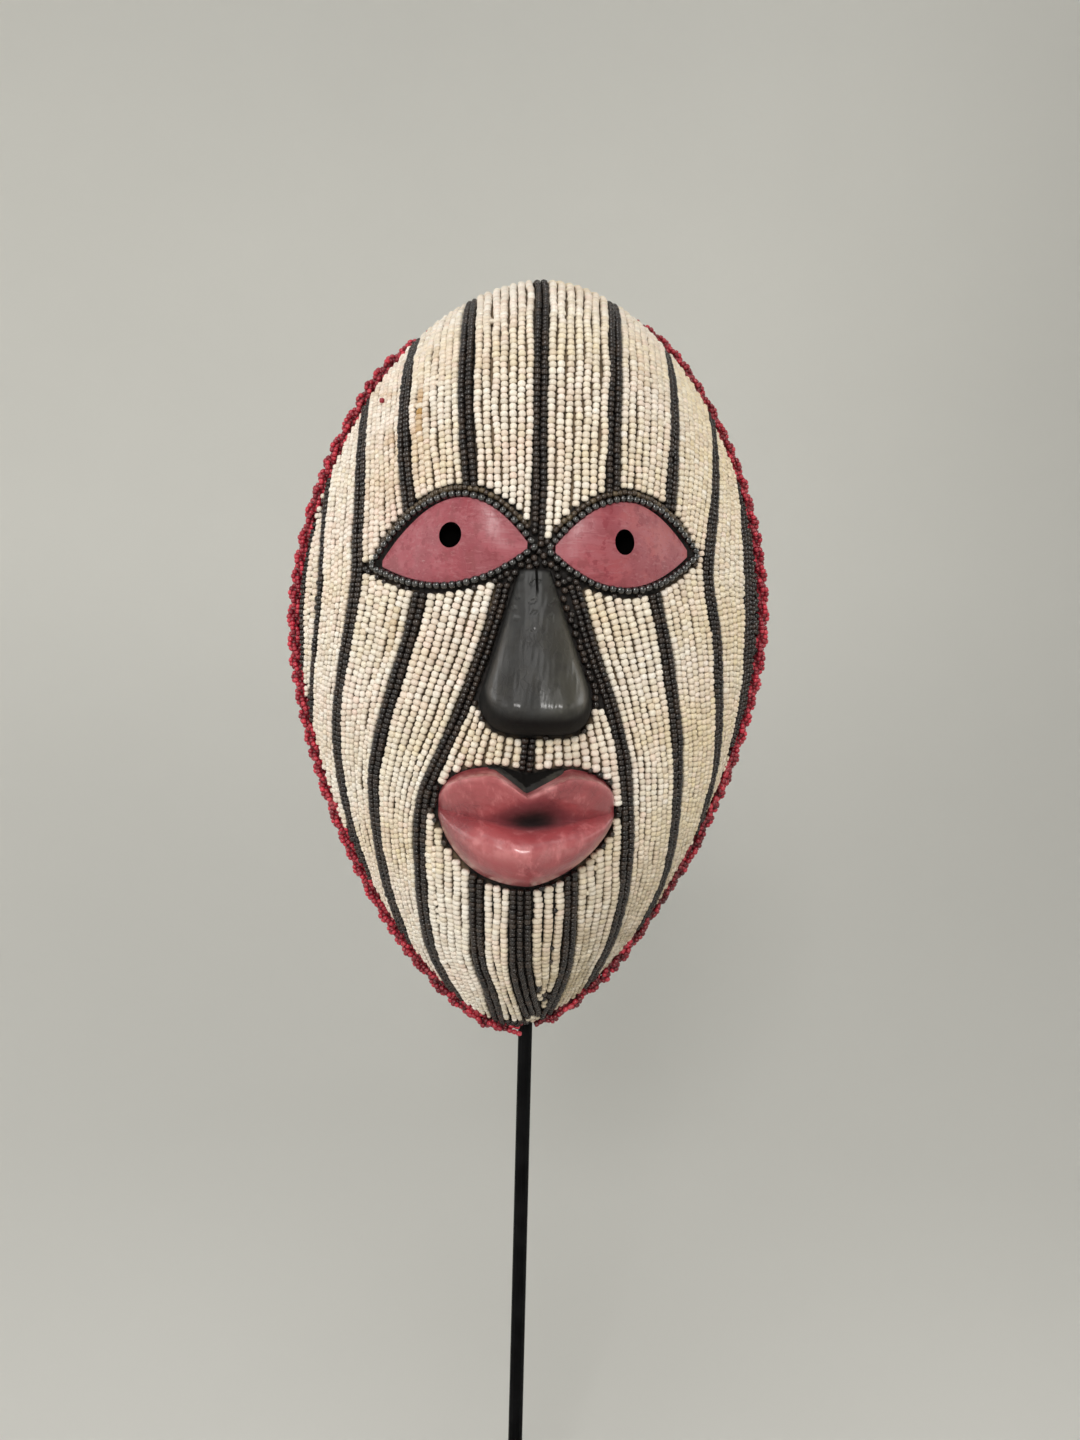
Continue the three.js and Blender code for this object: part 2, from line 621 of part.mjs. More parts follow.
// Rod that rises behind the chin and bends forward under the crown
function standRod() {
  const bottom = BASE_THICK + GAP;
  const arm = MASK_Z + ROD_ARM_HEIGHT;
  const reach = MASK_Y - height(-MASK_X, ROD_ARM_HEIGHT + ROD_DIAMETER / 2, WALL) + ROD_TIP_ROOM;
  const [foot, low, knee, high, tip] = [
    [0, bottom], [0, arm - ROD_BEND], [0, arm], [-ROD_BEND, arm], [reach, arm],
  ].map(([y, z]) => new THREE.Vector3(0, y, z));
  const route = [
    new THREE.LineCurve3(foot, low),
    new THREE.QuadraticBezierCurve3(low, knee, high),
    new THREE.LineCurve3(high, tip),
  ];
  const skin = new Skin();
  const stations = [0, 0.5, 1, 1.15, 1.35, 1.5, 1.65, 1.85, 2, 3];
  const rows = stations.map((station) => {
    const piece = Math.min(Math.floor(station), 2);
    const centre = route[piece].getPoint(station - piece);
    const along = route[piece].getTangent(station - piece);
    return skin.row(loopAt(centre, along, new THREE.Vector3(1, 0, 0), 12, () => ROD_DIAMETER / 2));
  });
  rows.forEach((row) => row.push(row[0]));
  skin.stitch(skin.row([foot]), rows[0]);
  for (let k = 0; k < rows.length - 1; k += 1) skin.stitch(rows[k], rows[k + 1]);
  skin.stitch(rows.at(-1), skin.row([tip]));
  return skin.geometry();
}

function standBase() {
  const half = BASE_SIDE / 2 - BASE_BEVEL;
  const shape = new THREE.Shape();
  const corner = BASE_CORNER;
  shape.moveTo(-half + corner, -half);
  [[1, -1], [1, 1], [-1, 1], [-1, -1]].forEach(([sx, sy], i) => {
    const start = [[sx * (half - corner), sy * half], [sx * half, sy * (half - corner)]];
    const [before, after] = i % 2 ? start.reverse() : start;
    shape.lineTo(...before);
    shape.quadraticCurveTo(sx * half, sy * half, ...after);
  });
  const plate = new THREE.ExtrudeGeometry(shape, {
    depth: BASE_THICK - 2 * BASE_BEVEL,
    bevelThickness: BASE_BEVEL,
    bevelSize: BASE_BEVEL,
    bevelSegments: 1,
    curveSegments: 4,
  });
  plate.translate(0, 0, BASE_BEVEL);
  return plate;
}

const FINISH = {
  carved: { color: 0x5a3c2c, roughness: 0.6, metalness: 0 },
  white: { color: 0xe4dac4, roughness: 0.35, metalness: 0 },
  black: { color: 0x35302c, roughness: 0.35, metalness: 0 },
  red: { color: 0x8f2436, roughness: 0.4, metalness: 0 },
  steel: { color: 0x0b0b0d, roughness: 0.45, metalness: 0.3 },
};

function named(name, geometry, finish) {
  const mesh = new THREE.Mesh(geometry, new THREE.MeshStandardMaterial(FINISH[finish]));
  mesh.name = name;
  return mesh;
}

// White fields: the stripes they lie between, the number of strands and how far up and down they may run
const FIELDS = [
  ["side_left_outer", "left_rim", "left_4", 2, 40, -28],
  ["side_left", "left_4", "left_3", 7, 90, -90],
  ["forehead_left_outer", "left_3", "left_2", 7, 125, 18],
  ["forehead_left_middle", "left_2", "left_1", 7, 135, 30],
  ["forehead_left_inner", "left_1", "centre", 7, 142, 26],
  ["forehead_right_inner", "centre", "right_1", 7, 142, 24],
  ["forehead_right_middle", "right_1", "right_2", 7, 135, 30],
  ["forehead_right_outer", "right_2", "right_3", 7, 125, 27],
  ["side_right", "right_3", "right_rim", 6, 90, -78],
  ["cheek_left_outer", "left_3", "cheek_left_2", 7, 14, -125],
  ["cheek_left_inner", "cheek_left_2", "cheek_left_1", 7, 9, -150],
  ["cheek_right_inner", "cheek_right_1", "cheek_right_2", 7, 9, -150],
  ["cheek_right_outer", "cheek_right_2", "right_3", 7, 22, -125],
  ["lip_left", "cheek_left_1", "lip", 7, -36, -64],
  ["lip_right", "lip", "cheek_right_1", 7, -36, -64],
  ["chin_left_outer", "cheek_left_1", "chin_left", 5, -76, -166],
  ["chin_left_inner", "chin_left", "chin_centre", 3, -98, -159],
  ["chin_right_inner", "chin_centre", "chin_right", 3, -98, -159],
  ["chin_right_outer", "chin_right", "cheek_right_1", 5, -76, -166],
];

const mask = new THREE.Group();
mask.position.set(MASK_X, MASK_Y, MASK_Z);
mask.add(named("wooden_mask", woodenMask(), "carved"));
mask.add(named("red_rope_edging", ropeEdging(), "red"));
EYES.forEach((eye) => {
  mask.add(named(`${eye.side}_eye_beads`, eyeBeads(eye), "black"));
  mask.add(named(`${eye.side}_brow_strand`, browStrand(eye), "black"));
});
Object.entries(STRIPES).forEach(([name, one]) => {
  const left = (z) => one.x(z) - halfWidth(one, z);
  const right = (z) => one.x(z) + halfWidth(one, z);
  const work = beadWork({ ...one, left, right, crest: STRIPE_CREST, step: STRIPE_STEP });
  mask.add(named(`black_stripe_${name}`, work, "black"));
});
FIELDS.forEach(([name, before, after, strands, top, bottom]) => {
  const left = (z) => STRIPES[before].x(z) + halfWidth(STRIPES[before], z) + 2 * GAP;
  const right = (z) => STRIPES[after].x(z) - halfWidth(STRIPES[after], z) - 2 * GAP;
  const work = beadWork({ left, right, strands, top, bottom, crest: BEAD_CREST, step: FIELD_STEP });
  mask.add(named(`white_beads_${name}`, work, "white"));
});

const part = new THREE.Group();
part.add(mask);
part.add(named("stand_rod", standRod(), "steel"));
part.add(named("stand_base", standBase(), "steel"));

export default part;
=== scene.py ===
import json
import math

import bpy
import numpy as np
from bpy.props import FloatProperty, FloatVectorProperty, PointerProperty
from bpy.types import Operator, Panel, PropertyGroup
from mathutils import Matrix, Vector
from mathutils.kdtree import KDTree

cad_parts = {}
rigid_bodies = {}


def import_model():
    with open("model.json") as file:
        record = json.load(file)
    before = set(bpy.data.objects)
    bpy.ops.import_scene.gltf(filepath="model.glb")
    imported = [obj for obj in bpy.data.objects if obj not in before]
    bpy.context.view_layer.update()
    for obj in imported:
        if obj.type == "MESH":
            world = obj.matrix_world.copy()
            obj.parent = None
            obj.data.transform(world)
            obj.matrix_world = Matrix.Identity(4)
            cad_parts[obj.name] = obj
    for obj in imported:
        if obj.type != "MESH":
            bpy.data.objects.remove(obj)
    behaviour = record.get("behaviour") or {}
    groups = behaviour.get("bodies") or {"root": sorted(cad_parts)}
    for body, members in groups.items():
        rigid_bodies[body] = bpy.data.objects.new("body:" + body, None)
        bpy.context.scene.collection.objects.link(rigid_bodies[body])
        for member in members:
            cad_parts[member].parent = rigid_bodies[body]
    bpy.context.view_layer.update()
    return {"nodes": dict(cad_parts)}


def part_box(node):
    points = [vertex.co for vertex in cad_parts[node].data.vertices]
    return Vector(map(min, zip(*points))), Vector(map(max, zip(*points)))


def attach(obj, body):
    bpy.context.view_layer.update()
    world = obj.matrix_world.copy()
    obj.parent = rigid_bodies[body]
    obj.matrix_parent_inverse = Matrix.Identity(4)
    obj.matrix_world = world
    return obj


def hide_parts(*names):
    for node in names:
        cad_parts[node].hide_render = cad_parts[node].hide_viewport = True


bl_info = {
    "name": "Beaded Face Mask",
    "version": (1, 0, 0),
    "blender": (4, 5, 0),
    "location": "View3D > Sidebar > Mask",
    "description": "Carved wooden face mask sewn with strings of glass beads, on a rod stand",
    "category": "Object",
}

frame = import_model()

# Shape of the carved shell, in millimetres from the middle of the mask's widest line:
# +X to the mask's left cheek as seen, -Y to the front, +Z up
MM = 0.001
HALF_WIDTH = 97.5
CROWN = 142.5
CHIN = 170.0
DEPTH = 66.0
WALL = 8.0
CROWN_OUTLINE = 1.88
CHIN_OUTLINE = 1.57
TEMPLE_FULL = 2.3
CHEEK_FULL = 3.0
CROWN_FULL = 7.5
CHIN_FULL = 4.5
CHEEK_BELOW = 60.0
RIM_LEAN = 0.018
PLACE = np.array([-2.0 * MM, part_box("wooden_mask")[1].y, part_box("wooden_mask")[1].z - CROWN * MM])

# Slant at which a stripe narrows, and height of the middle of a string over the wood
STRIPE_SLANT = 1.35
WHITE_PROUD = 1.5
DARK_PROUD = 1.55
STRING_STEP = 0.5

# Filling beads: least distance from a sewn bead and from each other
FILL_GAP = 2.3
FILL_APART = 2.1

# Rope: strands, strings in a strand, length and width of its beads, distance of its middle line from the
# rim, and the angles it starts at and runs through, in degrees
ROPE_STRANDS = 2
ROPE_STRINGS = 3
ROPE_PITCH = 1.9
ROPE_BEAD = 2.1
ROPE_AWAY = 2.8
ROPE_START = 278
ROPE_TURN = 351

# Camera: lens in millimetres, turns in radians, and place from the middle of the mask in metres
FOCAL_LENGTH = 27.05
CAMERA_YAW = 0.0638
CAMERA_ROLL = math.radians(1.4)
CAMERA_PLACE = (-0.0245, -0.460, -0.0405)

# Lights: place, size, power and tint; those behind leave the backdrop alone
LIGHT_TARGET = (0, -0.03, 0.42)
LIGHTS = {
    "key_light": ((-0.3, -1.5, 0.95), 0.35, 11.7, (1.0, 0.985, 0.96)),
    "top_light": ((-0.2, -0.9, 1.9), 1.0, 6.2, (1.0, 0.99, 0.97)),
    "left_light": ((-1.4, -0.5, 0.7), 1.0, 4.7, (1.0, 1.0, 1.0)),
    "right_light": ((1.4, -0.5, 0.7), 1.0, 4.7, (1.0, 0.98, 0.94)),
    "back_left_light": ((-1.55, 0.9, 0.7), 1.0, 8, (1.0, 1.0, 1.0)),
    "back_right_light": ((1.55, 0.9, 0.7), 1.0, 8, (1.0, 1.0, 1.0)),
}
SKY_COLOUR = (0.92, 0.93, 0.92, 1)
SKY_STRENGTH = 0.38

# Nose, lips and eyes, in the same millimetres

NOSE = {
    "x": -0.5, "lean": 0.035, "top": 14.0, "bottom": -46.0, "corner": 6.8, "narrow": 5.9, "wide": 24.9,
    "root": 3.0, "tip": 24.1}
LIPS = {
    "x": -3.0, "half": 33.4, "z": -79.0, "lift": 5.0, "up": 20.4, "dip": 7.5, "down": 23.2,
    "crest": 15.0, "line": 8.5, "full": 18.0}
# Eyes: the left corner a, the right corner b, the rise of each lid, and the pupil's place and half sizes
EYES = {
    "left": {
        "a": (-62.3, 16.5), "b": (-2.8, 22.3), "up": 21.8, "down": 11.4, "pupil": (-33.7, 26.3),
        "hole": (4.1, 4.7)},
    "right": {
        "a": (1.8, 21.2), "b": (59.8, 24.8), "up": 18.6, "down": 15.2, "pupil": (30.3, 25.5),
        "hole": (3.8, 4.7)},
}
EYE_PLATE = 2.6
EYE_DOME = 1.6
PUPIL_DEPTH = 3.5

# Dark stripes: the number of strings, and z, x points of their middle line from top to bottom
STRIPES = {
    "centre": (2, [(145, 0), (100, -1.8), (60, -2), (22, -1.6)]),
    "left_1": (2, [(140, -27), (110, -28), (75, -28.7), (40, -26.3)]),
    "left_2": (2, [(122, -49), (90, -51.7), (60, -51.3), (36, -48.5)]),
    "left_3": (2, [
        (98, -69.5), (60, -69.5), (30, -68.8), (14, -68.4), (-20, -73.5), (-48, -76.5), (-80, -72),
        (-116, -62)]),
    "left_4": (1, [(70, -83.5), (45, -85.2), (10, -84.8), (-12, -87.2), (-50, -89.5)]),
    "left_rim": (1, [(36, -90.2), (16, -93), (0, -94), (-20, -93)]),
    "right_1": (2, [(140, 30), (114, 26.2), (79, 25), (40, 24.6)]),
    "right_2": (2, [(122, 54), (105, 51), (70, 49.5), (40, 47.7)]),
    "right_3": (2, [
        (98, 73), (60, 70.7), (33, 67.5), (16, 66.4), (-7, 70.8), (-35, 74), (-63, 74.9), (-95, 70)]),
    "right_rim": (3, [(64, 86.5), (37, 88.5), (3, 89.3), (-30, 88.6), (-50, 85)]),
    "cheek_left_1": (2, [
        (9, -13.3), (-12, -18.9), (-34, -26.1), (-56, -35.4), (-72, -40.7), (-104, -41.2), (-135, -36.3),
        (-160, -24)]),
    "cheek_left_2": (2, [(9, -42.6), (-19, -49.5), (-49, -58), (-68, -60.2), (-105, -56.3), (-138, -46)]),
    "cheek_right_1": (2, [
        (9, 11.8), (-12, 18), (-34, 26.2), (-62, 33.2), (-94, 35.7), (-125, 34), (-156, 25)]),
    "cheek_right_2": (2, [(11, 41.5), (-19, 48.8), (-50, 54), (-80, 56.8), (-105, 55), (-132, 46)]),
    "lip": (2, [(-44, -3.4), (-66, -4.4)]),
    "chin_left": (2, [(-88, -21), (-130, -18.7), (-150, -13), (-168, -8.5)]),
    "chin_centre": (3, [(-98, -4.8), (-132, -3.2), (-148, -0.2), (-161, 3.4)]),
    "chin_right": (2, [(-88, 13), (-134, 14.6), (-150, 12.3), (-168, 8)]),
}

# White fields: the stripes they lie between, the number of strings, and how far up and down they may run
FIELDS = {
    "side_left_outer": ("left_rim", "left_4", 2, 40, -28),
    "side_left": ("left_4", "left_3", 7, 90, -90),
    "forehead_left_outer": ("left_3", "left_2", 7, 125, 18),
    "forehead_left_middle": ("left_2", "left_1", 7, 135, 30),
    "forehead_left_inner": ("left_1", "centre", 7, 142, 26),
    "forehead_right_inner": ("centre", "right_1", 7, 142, 24),
    "forehead_right_middle": ("right_1", "right_2", 7, 135, 30),
    "forehead_right_outer": ("right_2", "right_3", 7, 125, 27),
    "side_right": ("right_3", "right_rim", 6, 90, -78),
    "cheek_left_outer": ("left_3", "cheek_left_2", 7, 14, -125),
    "cheek_left_inner": ("cheek_left_2", "cheek_left_1", 7, 9, -150),
    "cheek_right_inner": ("cheek_right_1", "cheek_right_2", 7, 9, -150),
    "cheek_right_outer": ("cheek_right_2", "right_3", 7, 22, -125),
    "lip_left": ("cheek_left_1", "lip", 8, -36, -70),
    "lip_right": ("lip", "cheek_right_1", 9, -36, -72),
    "chin_left_outer": ("cheek_left_1", "chin_left", 5, -76, -166),
    "chin_left_inner": ("chin_left", "chin_centre", 3, -98, -164),
    "chin_right_inner": ("chin_centre", "chin_right", 3, -98, -150),
    "chin_right_outer": ("chin_right", "cheek_right_1", 5, -76, -166),
}


def srgb(red, green, blue):
    """Scene-linear colour of an sRGB colour given from 0 to 255."""
    return tuple(
        ((c / 255 + 0.055) / 1.055) ** 2.4 if c > 10 else c / 255 / 12.92 for c in (red, green, blue))


def colour(name, description, value):
    return FloatVectorProperty(
        name=name, description=description, subtype="COLOR", size=3, min=0, max=1, default=srgb(*value))


def millimetres(name, description, value, low=1, high=5):
    return FloatProperty(
        name=name, description=f"{description}, in millimetres", default=value, min=low, max=high)


class BeadSettings(PropertyGroup):
    white_pitch: millimetres("White bead length", "Length of a white bead along its string", 2.3)
    dark_pitch: millimetres("Dark bead length", "Length of a dark bead along its string", 2.0)
    dark_string: millimetres("Dark string width", "Width of one string of a dark stripe", 2.6)
    eye_bead: millimetres("Eye bead", "Diameter of the round beads round the eyes", 2.8)
    cream: colour("Cream", "Colour of the white beads", (240, 233, 222))
    sand: colour("Sand", "Colour of the yellower white beads", (228, 212, 178))
    blush: colour("Blush", "Colour of the pinker white beads", (234, 210, 196))
    # Grime: the dirt and painted shade low on the white beads, between their neighbours.
    grime_and_shade: colour("Grime and shade", "Colour of the dirt between the beads", (140, 120, 97))
    jet: colour("Jet", "Colour of the dark beads", (27, 23, 22))
    umber: colour("Umber", "Colour of the browner dark beads", (56, 45, 38))


class WoodSettings(PropertyGroup):
    rose: colour("Rose", "Paint of the lips", (158, 70, 74))
    dusty_pink: colour("Dusty pink", "Paint of the eyes", (206, 112, 124))
    charcoal: colour("Charcoal", "Paint of the nose", (51, 51, 51))
    raw: colour("Raw wood", "Colour of the bare wood inside", (128, 92, 62))


class RopeSettings(PropertyGroup):
    bead: millimetres("Rope bead", "Width of the rope's beads", ROPE_BEAD)
    turn: millimetres("Turn", "Length of one turn of the twist", 17, 5, 60)
    crimson: colour("Crimson", "Colour of the rope's beads", (204, 52, 70))


class StandSettings(PropertyGroup):
    black: colour("Black", "Paint of the rod and the foot plate", (6, 6, 7))


class StageSettings(PropertyGroup):
    wall: colour("Wall", "Colour of the floor and backdrop", (243, 242, 237))
    radius: FloatProperty(
        name="Backdrop radius", description="Distance from the mask to the backdrop",
        default=2.0, min=1, max=5, unit="LENGTH")


def smooth(t):
    s = np.clip(t, 0, 1)
    return s * s * (3 - 2 * s)


def curve_through(points):
    """A smooth curve x(z) through z, x points given from top to bottom, straight on past its ends."""
    z = np.array([p[0] for p in points], float)[::-1]
    x = np.array([p[1] for p in points], float)[::-1]
    slope = np.array([
        (x[min(i + 1, len(x) - 1)] - x[max(i - 1, 0)]) / (z[min(i + 1, len(z) - 1)] - z[max(i - 1, 0)])
        for i in range(len(x))])

    def at(height):
        i = np.clip(np.searchsorted(z, height, side="right") - 1, 0, len(z) - 2)
        span = z[i + 1] - z[i]
        t = (height - z[i]) / span
        rise = x[i + 1] - x[i]
        bend = t * (1 - t) * ((1 - t) * (slope[i] * span - rise) + t * (rise - slope[i + 1] * span))
        inside = x[i] + rise * t + bend
        below = x[0] + slope[0] * (height - z[0])
        above = x[-1] + slope[-1] * (height - z[-1])
        return np.where(height < z[0], below, np.where(height > z[-1], above, inside))

    return at


def dome(x, z, inset=0.0):
    """How far a point lies towards the rim, from 0 to 1, and the fullness of the dome there."""
    outline = np.where(z > 0, CROWN_OUTLINE, CHIN_OUTLINE)
    across = np.abs((x - RIM_LEAN * z) / (HALF_WIDTH - inset)) ** outline
    along = np.abs(z / (np.where(z > 0, CROWN, CHIN) - inset)) ** outline
    total = np.maximum(across + along, 1e-9)
    side = TEMPLE_FULL + (CHEEK_FULL - TEMPLE_FULL) * smooth(-z / CHEEK_BELOW)
    end = np.where(z > 0, CROWN_FULL, CHIN_FULL)
    return total ** (1 / outline), side + (end - side) * (along / total) ** 2


def height(x, z, inset=0.0):
    """Height of the wood in front of the rim, or of the hollow's wall with an inset."""
    reach, full = dome(x, z, inset)
    return (DEPTH - inset) * (1 - np.minimum(reach, 1.02) ** full)


def rim_line(angle, reach=1.0, inset=0.0):
    """The rim, or a ring inside it, at angles round the mask's middle."""
    c, s = np.cos(angle), np.sin(angle)
    power = 2 / np.where(s > 0, CROWN_OUTLINE, CHIN_OUTLINE)
    z = reach * (np.where(s > 0, CROWN, CHIN) - inset) * np.sign(s) * np.abs(s) ** power
    x = reach * (HALF_WIDTH - inset) * np.sign(c) * np.abs(c) ** power + RIM_LEAN * z
    return x, z


def rim_edge(angle):
    x, z = rim_line(angle)
    return np.stack([x, np.zeros_like(x), z], -1)


def facing(x, z):
    """Unit vectors square to the wood."""
    step = 0.1
    slope_x = (height(x + step, z) - height(x - step, z)) / (2 * step)
    slope_z = (height(x, z + step) - height(x, z - step)) / (2 * step)
    normal = np.stack([-slope_x, -np.ones_like(slope_x), -slope_z], -1)
    return normal / np.linalg.norm(normal, axis=-1, keepdims=True)


def on_mask(x, z, proud):
    """Points at a given height over the wood, square to it."""
    x, z = np.broadcast_arrays(np.asarray(x, float), np.asarray(z, float))
    return np.stack([x, -height(x, z), z], -1) + facing(x, z) * np.asarray(proud)[..., None]


def rim_distance(x, z):
    reach, full = dome(x, z)
    rim = np.hypot(x, z) / reach
    return (1 - reach) * rim * np.hypot(1, DEPTH * full / rim)


def eye_line(eye, s, rise):
    """The almond outline of an eye from its left corner, s = -1, to its right one."""
    (ax, az), (bx, bz) = eye["a"], eye["b"]
    x = (ax + bx) / 2 + s * (bx - ax) / 2
    return x, (az + bz) / 2 + s * (bz - az) / 2 + rise * (1 - s * s)


def eye_distance(eye, x, z):
    """Distance to an eye's outline, negative inside it, and how far the point counts as over the eye."""
    half = (eye["b"][0] - eye["a"][0]) / 2
    s = (x - (eye["a"][0] + eye["b"][0]) / 2) / half
    over = z - eye_line(eye, s, 0)[1]
    rise = np.where(over > 0, eye["up"], eye["down"])
    beside = np.hypot((np.abs(s) - 1) * half, over)
    near = (np.abs(over) - rise * (1 - s * s)) / np.hypot(1, 2 * rise * s / half)
    above = np.where(over > 0, smooth((1.05 - np.abs(s)) / 0.3), 0)
    return np.where(np.abs(s) >= 1, beside, near), above


def nose_width(z):
    t = np.clip((NOSE["top"] - z) / (NOSE["top"] - NOSE["bottom"]), 0, 1)
    return NOSE["narrow"] + (NOSE["wide"] - NOSE["narrow"]) * t


def nose_bottom(u):
    return NOSE["bottom"] + NOSE["corner"] * (np.abs(u) / 0.85) ** 4


def nose_middle(z):
    return NOSE["x"] - NOSE["lean"] * (z - NOSE["bottom"])


def nose_distance(x, z):
    width = nose_width(z)
    u = np.abs((x - nose_middle(z)) / width)
    return np.maximum.reduce([(u - 1) * width, z - NOSE["top"], nose_bottom(np.minimum(u, 1)) - z])


def lip_edges(s, dip=1.0):
    """Upper edge, mouth line and lower edge of the lips, with s from -1 to 1 across the mouth.

    The upper edge is given with all or a share of its dip in the middle."""
    away = np.minimum(np.abs(s), 1)
    start = s + 0.03
    reach = np.where(start < 0, 0.34, 0.5)
    sunk = dip * LIPS["dip"] * np.maximum(1 - np.abs(start) / reach, 0) ** 1.15
    middle = LIPS["z"] + LIPS["lift"] * away ** 1.4
    upper = middle + LIPS["up"] * (1 - away ** 2.5) ** 0.45 - sunk
    power, root = np.where(s < 0, 3, 1.7), np.where(s < 0, 0.67, 0.59)
    return upper, middle, middle - LIPS["down"] * (1 - away ** power) ** root


def lip_distance(x, z, dip=1.0):
    s = (x - LIPS["x"]) / LIPS["half"]
    upper, middle, lower = lip_edges(s, dip)
    beside = np.hypot((np.abs(s) - 1) * LIPS["half"], z - middle)
    return np.where(np.abs(s) >= 1, beside, np.maximum(z - upper, lower - z))


def bead_room(x, z, rim=4.6, eye_up=3.6, eye_down=2.5, wood=1.1):
    """Room left for bead strings at a point, negative where they stop."""
    rooms = [rim_distance(x, z) - rim, nose_distance(x, z) - wood, lip_distance(x, z, 0.25) - wood]
    for eye in EYES.values():
        distance, above = eye_distance(eye, x, z)
        rooms.append(distance - eye_down - (eye_up - eye_down) * above)
    return np.minimum.reduce(rooms)


def waver(points, length, seed):
    """Soft hand-made unevenness from -1 to 1, about one swing per length, for points of any dimension."""
    rng = np.random.default_rng(seed)
    total = np.zeros(points.shape[:-1])
    for _ in range(5):
        direction = rng.normal(size=points.shape[-1])
        direction *= 2 * math.pi / (length * rng.uniform(0.6, 1.6)) / np.linalg.norm(direction)
        total += np.sin(points @ direction + rng.uniform(0, 2 * math.pi))
    return total / 5 ** 0.5 / 1.2


def to_frame(points):
    """Points of the mask, in millimetres, as points of the whole object, in metres."""
    return points * MM + PLACE


def mesh_object(name, points, triangles):
    mesh = bpy.data.meshes.new(name)
    mesh.vertices.add(len(points))
    mesh.vertices.foreach_set("co", np.ascontiguousarray(points, np.float32).ravel())
    mesh.loops.add(triangles.size)
    mesh.loops.foreach_set("vertex_index", np.ascontiguousarray(triangles, np.int32).ravel())
    mesh.polygons.add(len(triangles))
    mesh.polygons.foreach_set("loop_start", np.arange(0, triangles.size, 3, dtype=np.int32))
    mesh.update(calc_edges=True)
    mesh.shade_smooth()
    obj = bpy.data.objects.new(name, mesh)
    bpy.context.scene.collection.objects.link(obj)
    return obj


def coordinates(obj):
    points = np.empty(len(obj.data.vertices) * 3, np.float32)
    obj.data.vertices.foreach_get("co", points)
    return points.reshape(-1, 3)


def set_attribute(obj, name, values):
    made = obj.data.attributes.new(name, "FLOAT", "POINT")
    made.data.foreach_set("value", np.ascontiguousarray(values, np.float32))


def nearest(points):
    """A tree that finds the nearest of the points."""
    tree = KDTree(len(points))
    for number, point in enumerate(points):
        tree.insert(point, number)
    tree.balance()
    return tree


def grid_triangles(rows, columns, wrap=False):
    """Triangles of a grid of points, given by rows; with wrap its last column joins the first."""
    index = np.arange(rows * columns).reshape(rows, columns)
    if wrap:
        index = np.concatenate([index, index[:, :1]], 1)
    a, b, c, d = index[:-1, :-1], index[1:, :-1], index[1:, 1:], index[:-1, 1:]
    return np.concatenate([np.stack(corners, -1).reshape(-1, 3) for corners in ((a, b, c), (a, c, d))])


def strip_triangles(a, b):
    """Triangles between two equally long rows of point numbers."""
    return np.concatenate([np.stack([a[:-1], b[:-1], b[1:]], -1), np.stack([a[:-1], b[1:], a[1:]], -1)])


def fan_triangles(middle, row):
    return np.stack([np.full(len(row), middle), row, np.roll(row, -1)], -1)


# Beads

def bead_shape(sides, rings, dimple):
    """Points and triangles of a bead along X with half length and radius 1. Its ends dip in at the hole."""
    angles = np.arange(sides) * 2 * math.pi / sides
    points = [[-dimple, 0, 0]]
    for x, radius in rings:
        points.extend([x, radius * math.cos(a), radius * math.sin(a)] for a in angles)
    points.append([dimple, 0, 0])
    body = grid_triangles(len(rings), sides, wrap=True) + 1
    last = 1 + (len(rings) - 1) * sides
    start = fan_triangles(0, np.arange(1, sides + 1))
    end = fan_triangles(len(points) - 1, np.arange(last, last + sides))[:, ::-1]
    return np.array(points), np.concatenate([body[:, ::-1], start[:, ::-1], end[:, ::-1]])


SEED_BEAD = bead_shape(8, [(-1.0, 0.62), (-0.52, 1.0), (0.52, 1.0), (1.0, 0.62)], 0.85)
ROUND_BEAD = bead_shape(14, [(math.sin(t), math.cos(t)) for t in np.linspace(-1.25, 1.25, 9)], 0.85)


